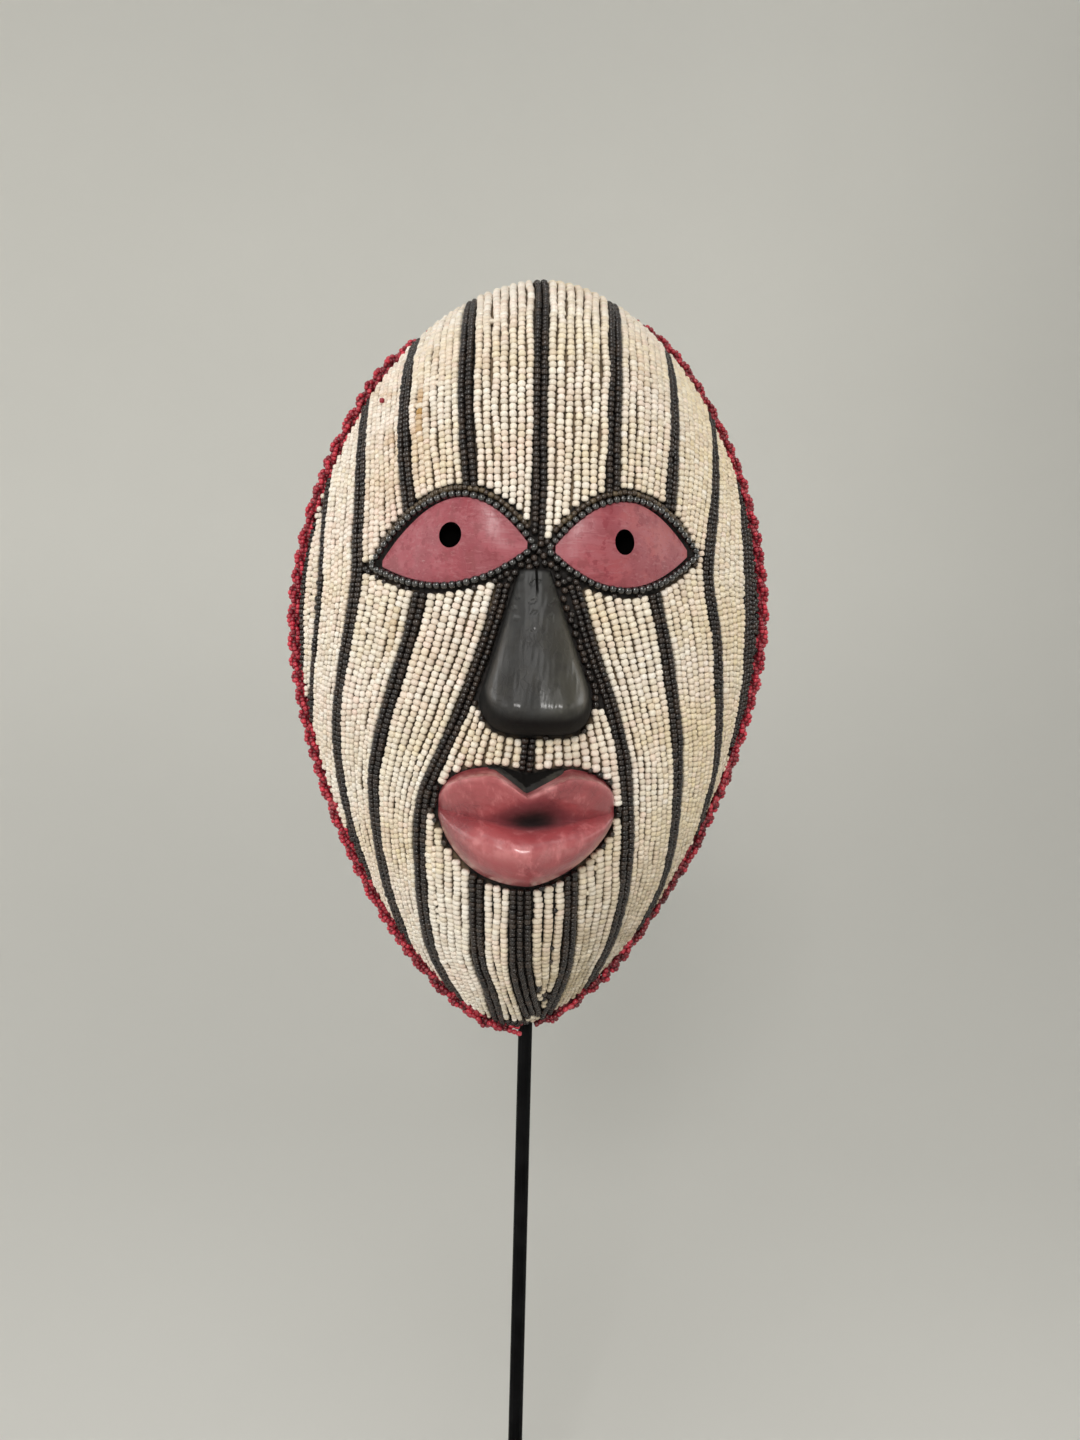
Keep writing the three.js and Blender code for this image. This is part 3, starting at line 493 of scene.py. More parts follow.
class Beads:
    """Gathers beads by their place, direction and size, and makes one mesh of them."""

    def __init__(self, seed):
        self.rng = np.random.default_rng(seed)
        self.centres = []
        self.along = []
        self.out = []
        self.sizes = []

    def add(self, centres, along, out, lengths, widths):
        self.centres.append(centres)
        self.along.append(along)
        self.out.append(out)
        self.sizes.append(np.stack(np.broadcast_arrays(lengths, widths, np.minimum(widths, 3)), -1))

    def string(self, points, normals, pitch, widths, play=0.12, lift=0.12):
        """Threads beads on a line of points, each a little out of place and out of size."""
        lengths = np.concatenate([[0], np.cumsum(np.linalg.norm(np.diff(points, axis=0), axis=1))])
        count = int(lengths[-1] / pitch)
        if count < 1:
            return
        steps = np.clip(self.rng.normal(1, 0.09, count), 0.75, 1.3)
        edges = np.concatenate([[0], np.cumsum(steps)]) * lengths[-1] / steps.sum()
        middles = (edges[1:] + edges[:-1]) / 2

        def at(values, where):
            return np.stack([np.interp(where, lengths, values[:, k]) for k in range(values.shape[1])], -1)

        along = at(points, middles + 0.6) - at(points, middles - 0.6)
        along += self.rng.normal(0, 0.06, along.shape) * np.linalg.norm(along, axis=1, keepdims=True)
        along /= np.linalg.norm(along, axis=1, keepdims=True)
        out = at(normals, middles)
        out -= along * np.sum(out * along, 1, keepdims=True)
        out /= np.linalg.norm(out, axis=1, keepdims=True)
        side = np.cross(out, along)
        centres = at(points, middles)
        centres += side * self.rng.normal(0, play, (count, 1))
        centres += out * np.clip(self.rng.normal(0, lift, (count, 1)), -0.2, 0.2)
        wide = np.interp(middles, lengths, widths) * np.clip(self.rng.normal(1, 0.045, count), 0.85, 1.1)
        self.add(centres, along, out, np.diff(edges), wide)

    def build(self, name, shape, looks=None):
        template, triangles = shape
        centres, along, out = (np.concatenate(part) for part in (self.centres, self.along, self.out))
        sizes = np.concatenate(self.sizes) / 2
        side = np.cross(out, along)
        axes = np.stack([along, side, out], 1)
        local = template[None] * sizes[:, None]
        points = centres[:, None] + np.einsum("bnk,bkj->bnj", local, axes)
        offset = np.arange(len(centres))[:, None, None] * len(template)
        obj = mesh_object(name, to_frame(points.reshape(-1, 3)), (triangles[None] + offset).reshape(-1, 3))
        looks = dict(looks or {}, bead_shade=self.rng.uniform(0, 1, len(centres)))
        for key, values in looks.items():
            set_attribute(obj, key, np.repeat(values, len(template)))
        set_attribute(obj, "bead_rise", np.tile(template[:, 2], len(centres)))
        obj["points_per_bead"] = len(template)
        return obj


def bead_centres(obj):
    """Middles of all the beads of a piece, in millimetres of the mask."""
    return (coordinates(obj).reshape(-1, obj["points_per_bead"], 3).mean(1) - PLACE) / MM


def string_on_mask(beads, x_of, top, bottom, share_width, pitch, proud, play=0.12, **room):
    """Threads a string of beads down the mask wherever it has room between two heights."""
    z = np.arange(top, bottom, -STRING_STEP)
    x = x_of(z)
    free = bead_room(x, z, **room) > 0
    starts = np.flatnonzero(free & ~np.concatenate([[False], free[:-1]]))
    ends = np.flatnonzero(free & ~np.concatenate([free[1:], [False]]))
    for first, last in zip(starts, ends):
        if last - first < 6:
            continue
        zs = z[first:last + 1]
        xs = x[first:last + 1]
        widths = share_width(xs, zs)
        points = on_mask(xs, zs, proud * np.ones_like(zs))
        beads.string(points, facing(xs, zs), pitch, widths, play)


def string_spacing(left, right, strings):
    """Distance between neighbouring strings of a field, measured over the wood and square to them."""
    def at(x, z):
        share = (x - left(z)) / (right(z) - left(z))
        half = (right(z) - left(z)) / strings / 2
        across = on_mask(x + half, z, np.zeros_like(z)) - on_mask(x - half, z, np.zeros_like(z))
        upper = left(z + 0.5) + (right(z + 0.5) - left(z + 0.5)) * share
        lower = left(z - 0.5) + (right(z - 0.5) - left(z - 0.5)) * share
        along = on_mask(upper, z + 0.5, np.zeros_like(z)) - on_mask(lower, z - 0.5, np.zeros_like(z))
        along /= np.linalg.norm(along, axis=1, keepdims=True)
        across -= along * np.sum(across * along, 1, keepdims=True)
        return np.linalg.norm(across, axis=1)
    return at


def stripe_edges(name):
    """Both edges of a stripe, closer where the wood turns steeply to the side."""
    strings, points = STRIPES[name]
    middle = curve_through(points)
    full = strings * bpy.context.scene.mask_beads.dark_string / 2

    def half(z):
        slope = height(middle(z) + 0.5, z) - height(middle(z) - 0.5, z)
        return full / np.maximum(1, np.hypot(1, slope) / STRIPE_SLANT)

    return (lambda z: middle(z) - half(z)), (lambda z: middle(z) + half(z))


# Materials

class Nodes:
    """Adds nodes to one tree. A value is a socket to link from, a number, a vector or a linear colour."""

    def __init__(self, tree):
        self.tree = tree

    def put(self, socket, value):
        if isinstance(value, bpy.types.NodeSocket):
            self.tree.links.new(value, socket)
        else:
            socket.default_value = (*value[:3], 1) if socket.type == "RGBA" else value

    def add(self, kind, inputs=None, **settings):
        """Adds a shader node, sets its inputs and gives back its outputs."""
        made = self.tree.nodes.new(f"ShaderNode{kind}")
        for key, value in settings.items():
            setattr(made, key, value)
        for key, value in (inputs or {}).items():
            self.put(made.inputs[key], value)
        return made.outputs

    def maths(self, operation, a, b=0.0, clamp=False):
        return self.add("Math", {0: a, 1: b}, operation=operation, use_clamp=clamp)[0]

    def times(self, a, b, clamp=False):
        return self.maths("MULTIPLY", a, b, clamp)

    def mix(self, factor, a, b):
        """Mixes two colours."""
        return self.add("Mix", {0: factor, 6: a, 7: b}, data_type="RGBA")[2]

    def layers(self, tone, *coats):
        """Lays sRGB colours over a tone one after another, each as strongly as its mask says."""
        for mask, coat in coats:
            tone = self.mix(mask, tone, srgb(*coat))
        return tone

    def place(self):
        """The object's own coordinates, in metres."""
        return self.add("TexCoord")["Object"]

    def axis(self, name):
        return self.add("SeparateXYZ", {0: self.place()})[name]

    def attribute(self, name):
        return self.add("Attribute", attribute_name=name)["Fac"]

    def remap(self, value, low, high, to_low=0.0, to_high=1.0):
        inputs = {"Value": value, "From Min": low, "From Max": high, "To Min": to_low, "To Max": to_high}
        return self.add("MapRange", inputs, interpolation_type="SMOOTHSTEP")[0]

    def noise(self, scale, detail=3.0, roughness=0.55, stretch=None, lean=0.0):
        """Noise with its scale in swings per metre, turned about Y by lean and then stretched."""
        vector = self.place()
        if stretch:
            vector = self.add("Mapping", {"Vector": vector, "Scale": stretch, "Rotation": (0, lean, 0)})[0]
        inputs = {"Vector": vector, "Scale": scale, "Detail": detail, "Roughness": roughness}
        return self.add("TexNoise", inputs)["Fac"]

    def patches(self, scale, detail, low, high, to_low=0.0, to_high=1.0):
        """Noise cut to soft patches: to_low where it is under low, to_high where it is over high."""
        return self.remap(self.noise(scale, detail), low, high, to_low, to_high)


def shared(name, inputs, outputs):
    """A new node group with named sockets: its nodes, its inputs and its outputs."""
    tree = bpy.data.node_groups.new(name, "ShaderNodeTree")
    for socket, default in inputs.items():
        kind = "Float" if isinstance(default, float) else "Color"
        made = tree.interface.new_socket(socket, in_out="INPUT", socket_type=f"NodeSocket{kind}")
        made.default_value = default if kind == "Float" else (*default, 1)
    for socket, kind in outputs.items():
        tree.interface.new_socket(socket, in_out="OUTPUT", socket_type=f"NodeSocket{kind}")
    return Nodes(tree), tree.nodes.new("NodeGroupInput").outputs, tree.nodes.new("NodeGroupOutput").inputs


def bead_group():
    """Colour of one bead among many: it differs from bead to bead, with dirt and painted shade low between
    the others.
    """
    if "Bead colour" in bpy.data.node_groups:
        return bpy.data.node_groups["Bead colour"]
    n, inputs, outputs = shared(
        "Bead colour",
        {"Light": (0.8, 0.8, 0.8), "Dark": (0.4, 0.4, 0.4), "Dirt and shade": (0.1, 0.1, 0.1), "Dirt height": 0.3,
         "Dirt strength": 0.8},
        {"Color": "Color", "Dirt and shade": "Float", "Height": "Float"})
    tone = n.mix(n.maths("POWER", n.attribute("bead_shade"), 1.6), inputs["Light"], inputs["Dark"])
    tone = n.mix(n.patches(900, 2, 0.45, 0.75, 0, 0.35), tone, inputs["Dark"])
    rise = n.maths("ADD", n.attribute("bead_rise"), n.patches(260, 3, 0.3, 0.7, -0.25, 0.25))
    clean = n.maths("SUBTRACT", inputs["Dirt height"], 0.6)
    # Dirt and painted shade: the bead darkens low down, where it meets its neighbours and the ground.
    low = n.remap(rise, inputs["Dirt height"], clean, 0.0, inputs["Dirt strength"])
    n.put(outputs["Color"], n.mix(low, tone, inputs["Dirt and shade"]))
    n.put(outputs["Dirt and shade"], low)
    n.put(outputs["Height"], n.noise(1400, 2))
    return n.tree


def worn_paint_group():
    """Old hand-rubbed paint on carved wood: shades, brushed streaks, pale rubs and fine cracks."""
    if "Worn paint" in bpy.data.node_groups:
        return bpy.data.node_groups["Worn paint"]
    n, inputs, outputs = shared(
        "Worn paint",
        {"Paint": (0.4, 0.1, 0.1), "Shade": (0.2, 0.05, 0.05), "Rubbed": (0.6, 0.4, 0.4), "Shading": 0.6,
         "Rubbing": 0.4},
        {"Color": "Color", "Roughness": "Float", "Height": "Float"})
    broad = n.noise(38, 4, 0.6)
    streaks = n.noise(260, 4, 0.65, stretch=(1.0, 1.0, 0.25))
    fine = n.noise(1100, 3, 0.6)
    gaps = n.add("TexVoronoi", {"Vector": n.place(), "Scale": 340.0}, feature="DISTANCE_TO_EDGE")["Distance"]
    cracks = n.times(n.remap(gaps, 0.07, 0.0), n.remap(broad, 0.45, 0.6))
    tone = n.mix(n.times(n.remap(broad, 0.42, 0.68), inputs["Shading"]), inputs["Paint"], inputs["Shade"])
    tone = n.mix(n.times(n.remap(streaks, 0.5, 0.75), inputs["Rubbing"]), tone, inputs["Rubbed"])
    tone = n.mix(n.remap(fine, 0.58, 0.75, 0, 0.35), tone, inputs["Shade"])
    n.put(outputs["Color"], n.mix(n.times(cracks, 0.5), tone, inputs["Shade"]))
    n.put(outputs["Roughness"], n.remap(streaks, 0.3, 0.75, 0.32, 0.58))
    relief = n.maths("ADD", n.times(fine, 0.35), streaks)
    n.put(outputs["Height"], n.maths("SUBTRACT", relief, n.times(cracks, 0.4)))
    return n.tree


class Finish(Nodes):
    """A new material with its Principled shader."""

    def __init__(self, name, view_colour):
        self.material = bpy.data.materials.new(name)
        self.material.use_nodes = True
        self.material.diffuse_color = (*view_colour[:3], 1)
        super().__init__(self.material.node_tree)
        self.tree.nodes.clear()
        self.shader = self.tree.nodes.new("ShaderNodeBsdfPrincipled")
        output = self.tree.nodes.new("ShaderNodeOutputMaterial")
        self.tree.links.new(self.shader.outputs[0], output.inputs[0])

    def feed(self, values):
        """Sets or links the shader's inputs and gives back the finished material."""
        for key, value in values.items():
            self.put(self.shader.inputs[key], value)
        return self.material

    def bump(self, relief, distance, strength):
        made = self.add("Bump", {"Height": relief, "Distance": distance, "Strength": strength})
        self.feed({"Normal": made[0]})

    def glass(self, light, dark, dirt_and_shade, dirt_and_shade_height, rough, relief, dirt_and_shade_strength=0.8):
        """Gives a bead its colour, darker low down with dirt and painted shade, its roughness where it is
        clean and where dirty, and its fine relief.
        """
        look = self.add("Group", {
            "Light": light, "Dark": dark, "Dirt and shade": dirt_and_shade, "Dirt height": dirt_and_shade_height,
            "Dirt strength": dirt_and_shade_strength}, node_tree=bead_group())
        self.feed({"Roughness": self.remap(look["Dirt and shade"], 0, 0.8, *rough)})
        self.bump(look["Height"], *relief)
        return look["Color"]

    def worn(self, paint, shade, rubbed, shading, rubbing, relief):
        """Colour and roughness of worn paint, with its relief put in place."""
        look = self.add("Group", {
            "Paint": paint, "Shade": srgb(*shade), "Rubbed": srgb(*rubbed), "Shading": shading,
            "Rubbing": rubbing}, node_tree=worn_paint_group())
        self.bump(look["Height"], relief, 0.6)
        return look["Color"], look["Roughness"]


def white_glass():
    """Cream beads, some yellower or pinker, stained here and there, and darker and browner in patches low on
    the right.
    """
    settings = bpy.context.scene.mask_beads
    n = Finish("cream_glass_beads", settings.cream)
    warm = n.mix(n.attribute("bead_warm"), settings.cream, settings.sand)
    warm = n.mix(n.attribute("bead_blush"), warm, settings.blush)
    darker = n.mix(0.45, warm, srgb(184, 166, 142))
    # Dirt and painted shade low on each bead take the grime colour.
    tone = n.glass(warm, darker, settings.grime_and_shade, 0.35, (0.34, 0.8), (0.0001, 0.35))
    # Darker and browner in patches low on the right of the chin.
    chin = n.times(n.remap(n.axis("Z"), 0.37, 0.27), n.remap(n.axis("X"), -0.02, 0.02))
    darker_low_right = n.times(chin, n.patches(120, 3, 0.36, 0.6, 0.3, 0.75))
    stained = n.attribute("bead_stain")
    return n.feed({"Base Color": n.layers(tone, (darker_low_right, (150, 132, 96)), (stained, (180, 138, 76)))})


def dark_glass(name, light, dark):
    n = Finish(name, light)
    # Dirt and painted shade low on each bead, in dark brown.
    return n.feed({"Base Color": n.glass(light, dark, srgb(38, 31, 26), 0.2, (0.24, 0.75), (0.0001, 0.3))})


def round_glass():
    """The shiniest beads, black with clear highlights."""
    n = Finish("black_round_beads", bpy.context.scene.mask_beads.jet)
    # Dirt and painted shade low on each bead, in a deeper black.
    tone = n.glass(
        srgb(8, 7, 7), srgb(28, 23, 20), srgb(18, 15, 13), 0.0, (0.12, 0.7), (0.00005, 0.2))
    return n.feed({"Base Color": tone, "IOR": 1.6, "Coat Weight": 1.0, "Coat Roughness": 0.05})


def red_glass():
    crimson = bpy.context.scene.mask_rope.crimson
    n = Finish("crimson_glass_beads", crimson)
    # Dirt and painted shade low on each bead, in dark red.
    tone = n.glass(crimson, srgb(128, 24, 42), srgb(74, 20, 26), 0.1, (0.3, 0.7), (0.0001, 0.3), 0.75)
    rubbed = n.patches(140, 4, 0.55, 0.75, 0, 0.45)
    # Wear where the rope is frayed, and painted shade on the beads that lie deep between its strands.
    worn = n.attribute("bead_worn")
    return n.feed({"Base Color": n.layers(tone, (rubbed, (204, 104, 110)), (worn, (84, 28, 32)))})


def lip_paint():
    """Rose paint, rubbed pale and with painted highlights on the crests, and with painted shade in the
    mouth, dull maroon to near black.
    """
    rose = bpy.context.scene.mask_wood.rose
    n = Finish("rose_lip_paint", rose)
    tone, rough = n.worn(rose, (116, 44, 50), (206, 124, 126), 0.7, 0.55, 0.0004)
    # Pale rubs and painted highlights on the lips' crests.
    edge = n.times(n.attribute("edge"), n.patches(190, 4, 0.36, 0.6, 0.25, 1.0))
    # Painted shade in the mouth line: dull, then maroon, then near black where deepest.
    hollow = n.attribute("hollow")
    dull = n.remap(hollow, 0.0, 0.3)
    return n.feed({
        "Base Color": n.layers(
            tone,
            (n.times(edge, 0.6, clamp=True), (230, 160, 160)),
            (n.remap(hollow, 0.05, 0.5, 0, 0.75), (92, 34, 42)),
            (n.remap(hollow, 0.45, 1.0), (30, 13, 14))),
        "Roughness": n.maths("MAXIMUM", rough, dull),
        "Coat Weight": n.times(n.maths("SUBTRACT", 1.0, dull), 0.6),
        "Coat Roughness": 0.22})


def eye_paint():
    """Smooth pink paint, lighter and more coral to the right, brushed, spotted and scratched, pale round the
    pupils, with painted shade at its edges.
    """
    pink = bpy.context.scene.mask_wood.dusty_pink
    n = Finish("dusty_pink_eye_paint", pink)
    tone, rough = n.worn(pink, (160, 66, 78), (226, 168, 168), 0.8, 0.35, 0.0002)
    strokes = n.noise(330, 4, 0.65, stretch=(0.2, 1.0, 1.0), lean=0.5)
    scratches = n.noise(900, 3, 0.6, stretch=(0.12, 1.0, 1.0), lean=0.7)
    scores = n.noise(800, 3, 0.6, stretch=(0.12, 1.0, 1.0), lean=-0.35)
    edge = n.attribute("edge")
    ring = n.times(edge, n.remap(strokes, 0.4, 0.58, 0.1, 1.0), clamp=True)
    tone = n.layers(
        tone,
        # Lighter and more coral to the right.
        (n.remap(n.axis("X"), 0.0, 0.05, 0, 0.8), (244, 158, 148)),
        (n.times(ring, 0.85), (196, 146, 152)),
        (n.remap(strokes, 0.47, 0.58, 0, 0.6), (226, 154, 162)),
        (n.patches(80, 4, 0.46, 0.58, 0, 0.7), (156, 98, 106)),
        (n.patches(160, 4, 0.56, 0.63, 0, 0.6), (124, 84, 78)),
        (n.patches(300, 3, 0.59, 0.64, 0, 0.75), (128, 34, 50)),
        (n.remap(scratches, 0.56, 0.64, 0, 0.5), (232, 184, 188)),
        (n.remap(scores, 0.57, 0.65, 0, 0.5), (112, 50, 58)),
        (n.remap(edge, 1.2, 1.8), (236, 220, 220)),
        # Painted shade at the eye's edges, under the beads.
        (n.times(n.attribute("hollow"), 0.8), (132, 42, 54)))
    return n.feed({"Base Color": tone, "Roughness": rough, "Coat Weight": 0.2, "Coat Roughness": 0.3})


def nose_paint():
    """Charcoal paint with some sheen, lighter and more olive to the right as painted light, and with painted
    shade, dull and near black, under it, round its foot and in its crack; the notch is blackened.
    """
    charcoal = bpy.context.scene.mask_wood.charcoal
    n = Finish("charcoal_nose_paint", charcoal)
    tone, _ = n.worn(charcoal, (34, 32, 31), (88, 85, 78), 0.7, 0.2, 0.0003)
    # Painted shade, near black and dull, under the nose, round its foot and in its crack; blackened wood in
    # the notch.
    dull = n.attribute("hollow")
    return n.feed({
        "Base Color": n.layers(
            tone,
            # Painted light: the right side is lighter and more olive.
            (n.remap(n.axis("X"), -0.006, 0.012, 0, 0.6), (72, 69, 58)),
            (n.patches(130, 4, 0.5, 0.62, 0, 0.5), (40, 38, 36)),
            (dull, (10, 8, 7))),
        "Roughness": n.maths("MAXIMUM", n.patches(200, 3, 0.3, 0.7, 0.34, 0.48), dull),
        "Coat Weight": n.times(n.maths("SUBTRACT", 1.0, dull), 0.3),
        "Coat Roughness": 0.18,
        "Specular IOR Level": 0.25})


def pupil_shade_paint():
    # Painted shade: a near-black, barely reflecting floor and wall for the blind hole, in place of the dark
    # seen through a pierced pupil.
    n = Finish("black_pupil", srgb(4, 4, 4))
    return n.feed({
        "Base Color": n.mix(n.noise(400, 3), srgb(1, 1, 1), srgb(8, 7, 7)),
        "Roughness": n.patches(300, 2, 0.3, 0.7, 0.8, 1.0),
        "Specular IOR Level": 0.02})


def bead_ground():
    """Dirty cloth and glue that shows between the beads, dark under the dark ones."""
    n = Finish("bead_ground", srgb(116, 98, 78))
    cloth = n.mix(n.patches(600, 4, 0.35, 0.7), srgb(132, 112, 88), srgb(92, 76, 58))
    n.bump(n.noise(1600, 3), 0.0002, 0.5)
    return n.feed({
        "Base Color": n.layers(cloth, (n.attribute("ground_dark"), (24, 19, 17))),
        "Roughness": n.patches(500, 2, 0.3, 0.7, 0.75, 0.95)})


def raw_wood():
    """Bare carved wood of the hollow: long grain, tool marks and dark handling along the rim."""
    wood = bpy.context.scene.mask_wood.raw
    n = Finish("raw_carved_wood", wood)
    grain = n.noise(220, 5, 0.6, stretch=(1.0, 1.0, 0.08))
    fine = n.noise(900, 3, 0.6, stretch=(1.0, 1.0, 0.05))
    tone = n.layers(
        wood,
        (n.remap(grain, 0.35, 0.68), (84, 56, 36)),
        (n.remap(fine, 0.5, 0.7, 0, 0.5), (64, 42, 28)),
        (n.patches(22, 4, 0.45, 0.7, 0, 0.6), (62, 42, 30)),
        (n.attribute("hollow"), (44, 30, 24)))
    n.bump(n.maths("ADD", grain, n.times(fine, 0.5)), 0.0005, 0.6)
    return n.feed({"Base Color": tone, "Roughness": n.remap(grain, 0.3, 0.7, 0.55, 0.8)})


def black_steel(name, wear):
    """Matt black paint on steel, with small chips."""
    black = bpy.context.scene.mask_stand.black
    n = Finish(name, black)
    spots = n.add("TexVoronoi", {"Vector": n.place(), "Scale": 160.0})["Distance"]
    chips = n.times(n.remap(spots, 0.16, 0.1), n.patches(46, 2, 0.58, 0.64))
    n.bump(n.noise(1500, 2), 0.0001, 0.25)
    return n.feed({
        "Base Color": n.layers(
            black, (n.patches(90, 4, 0.35, 0.7), (17, 17, 18)), (n.times(chips, wear), (122, 118, 112))),
        "Roughness": n.patches(700, 3, 0.3, 0.7, 0.4, 0.6),
        "Specular IOR Level": 0.05})


def pale_wall(wall):
    """Matt paint with a painted shadow: darker low down and to the right."""
    n = Finish("pale_wall", wall)
    shadow = [c * 0.4 for c in wall]
    lean = n.maths("SUBTRACT", n.axis("X"), n.times(n.axis("Z"), 0.25))
    tone = n.mix(n.noise(3, 3), wall, [c * 0.96 for c in wall])
    # Painted shadow, growing to the right and towards the floor.
    tone = n.mix(n.remap(lean, 0.1, 1.4, 0, 0.5), tone, shadow)
    tone = n.mix(n.remap(n.axis("Z"), 0.8, 0.0, 0, 0.3), tone, shadow)
    return n.feed({"Base Color": tone, "Roughness": 0.9, "Specular IOR Level": 0.1})


# Carved wood

WOOD_PARTS = ("ground", "raw", "nose", "lips", "eyes", "pupils")


def part_of_wood(obj, part):
    """Gives a form the material slots of the whole mask, with all its faces in one of them."""
    for _ in WOOD_PARTS:
        obj.data.materials.append(None)
    obj.data.polygons.foreach_set("material_index", [WOOD_PARTS.index(part)] * len(obj.data.polygons))
    return obj


def carving(name, plan, rise, columns, rows):
    """A carved form on the shell, given by its plan and its height, rooted inside the wall."""
    u, v = np.meshgrid(columns, rows)
    x, z = plan(u, v)
    skin = on_mask(x, z, np.zeros_like(x))
    front = skin.copy()
    front[..., 1] -= rise(u, v)
    back = skin.copy()
    back[..., 1] += 4
    count = front.shape[0] * front.shape[1]
    points = np.concatenate([front.reshape(-1, 3), back.reshape(-1, 3)])
    sheet = grid_triangles(*front.shape[:2])
    index = np.arange(count).reshape(front.shape[:2])
    rim = np.concatenate([index[0, :-1], index[:-1, -1], index[-1, :0:-1], index[:0:-1, 0], index[:1, 0]])
    triangles = np.concatenate([sheet, sheet[:, ::-1] + count, strip_triangles(rim, rim + count)])
    return part_of_wood(mesh_object(name, to_frame(points), triangles), name)


def nose_form():
    """A long wedge that widens to two full wings, with a faint groove between and a crack at the root."""
    def plan(u, v):
        z = NOSE["top"] + (nose_bottom(u) - NOSE["top"]) * v
        return nose_middle(z) + u * nose_width(z), z

    def rise(u, v):
        ridge = NOSE["root"] + (NOSE["tip"] - NOSE["root"]) * v ** 0.9
        under = np.sqrt(np.maximum(1 - np.maximum((v - 0.8) / 0.2, 0) ** 2.4, 0))
        section = np.maximum(1 - np.abs(u) ** 2.8, 0) ** 0.58
        groove = 0.45 * np.exp(-(u / 0.12) ** 2) * smooth((v - 0.45) / 0.4)
        full, middle = np.where(u < 0, 1.5, 2.2), np.where(u < 0, 0.48, 0.5)
        wings = full * np.exp(-((np.abs(u) - middle) / 0.24) ** 2 - ((v - 0.84) / 0.12) ** 2)
        across = u * nose_width(NOSE["top"] - 60 * v)
        flat = np.stack([across, v * 60], -1)
        crack = 1.6 * np.exp(-((across - 0.5) / 0.28) ** 2) * smooth((0.17 - v) / 0.06)
        chips = 0.5 * smooth((waver(flat, 5, 6) - 0.55) / 0.2) * smooth((0.5 - v) / 0.3)
        hand = 0.2 * waver(flat, 15, 5) + 0.08 * waver(np.stack([across * 2, v * 30], -1), 4, 8)
        shape = ridge * section - groove + wings * section - crack - chips + hand * section
        return np.maximum(shape, 0) * under - 0.4 * (1 - under)

    columns = np.linspace(-1, 1, 121) * (1.5 - 0.5 * np.linspace(-1, 1, 121) ** 2)
    rows = 1 - (1 - np.linspace(0, 1, 150)) ** 1.3
    return carving("nose", plan, rise, columns, rows)


def lip_form():
    """A crisp upper edge, an upper lip that falls inward to the mouth line, and a full lower lip."""
    def plan(u, v):
        s = u * 0.985
        upper, middle, lower = lip_edges(s)
        z = np.where(v < 1, upper + (middle - upper) * v, middle + (lower - middle) * (v - 1))
        return LIPS["x"] + LIPS["half"] * s, z

    def rise(u, v):
        sides = np.sqrt(np.maximum(1 - np.abs(u) ** 7, 0)) * (1 - 0.3 * u * u)
        reach = np.where(v < 0.93, 0.36, 0.14)
        mouth = 6.5 * np.exp(-((u - 0.08) / 0.36) ** 2 - ((v - 0.93) / reach) ** 2)
        fall = smooth((v - 0.1) / 1.4) / smooth(0.9 / 1.4)
        upper = LIPS["crest"] * smooth(v / 0.16) - (LIPS["crest"] - LIPS["line"]) * fall
        rising = np.sin(np.clip((v - 1) / 0.42, 0, 1) * math.pi / 2)
        swell = LIPS["line"] + (LIPS["full"] - LIPS["line"]) * rising
        turn = np.sqrt(np.maximum(1 - np.maximum((v - 1.4) / 0.6, 0) ** 2.2, 0))
        flat = np.stack([u * 32, v * 22], -1)
        hand = (0.35 * waver(flat, 13, 9) + 0.12 * waver(flat, 4, 10)) * np.minimum(v * (2 - v) * 4, 1)
        return (np.where(v < 1, upper, swell * turn) - mouth + hand) * sides

    columns = np.sin(np.linspace(-1, 1, 121) * math.pi / 2)
    rows = np.concatenate([
        np.linspace(0, 0.3, 16), np.linspace(0.33, 1.5, 50), 2 - 0.5 * np.linspace(0.97, 0, 24) ** 1.6])
    return carving("lips", plan, rise, columns, rows)


def notch_form():
    """The blackened wood left between the two peaks of the upper lip."""
    def plan(u, v):
        s = 0.42 * u - 0.03
        high = lip_edges(s, 0.3)[0] + 0.4
        low = lip_edges(s)[0] - 1.5
        return LIPS["x"] + LIPS["half"] * s, high + (low - high) * v

    def rise(u, v):
        hand = 0.25 * waver(np.stack([u * 14, v * 6], -1), 5, 11)
        return (1.0 + 6.5 * v) * (1 - u * u) ** 0.5 + hand

    return carving("nose", plan, rise, np.linspace(-0.99, 0.99, 41), np.linspace(0, 1, 14))


def eye_form(side):
    """Smooth almond plate, slightly domed."""
    eye = EYES[side]
    shrink = 1.3
    half = (eye["b"][0] - eye["a"][0]) / 2

    def plan(u, v):
        s = u * (1 - 2.2 * shrink / half)
        upper = eye_line(eye, s, eye["up"])[1] - shrink * np.hypot(1, 2 * eye["up"] * s / half)
        lower = eye_line(eye, s, -eye["down"])[1] + shrink * np.hypot(1, 2 * eye["down"] * s / half)
        return eye_line(eye, s, 0)[0], upper + (lower - upper) * v

    def rise(u, v):
        hand = 0.14 * waver(np.stack(plan(u, v), -1), 11, 21)
        return EYE_PLATE + EYE_DOME * (1 - u * u) ** 2 * 4 * v * (1 - v) + hand

    return carving("eyes", plan, rise, np.linspace(-1, 1, 70), np.linspace(0, 1, 36))


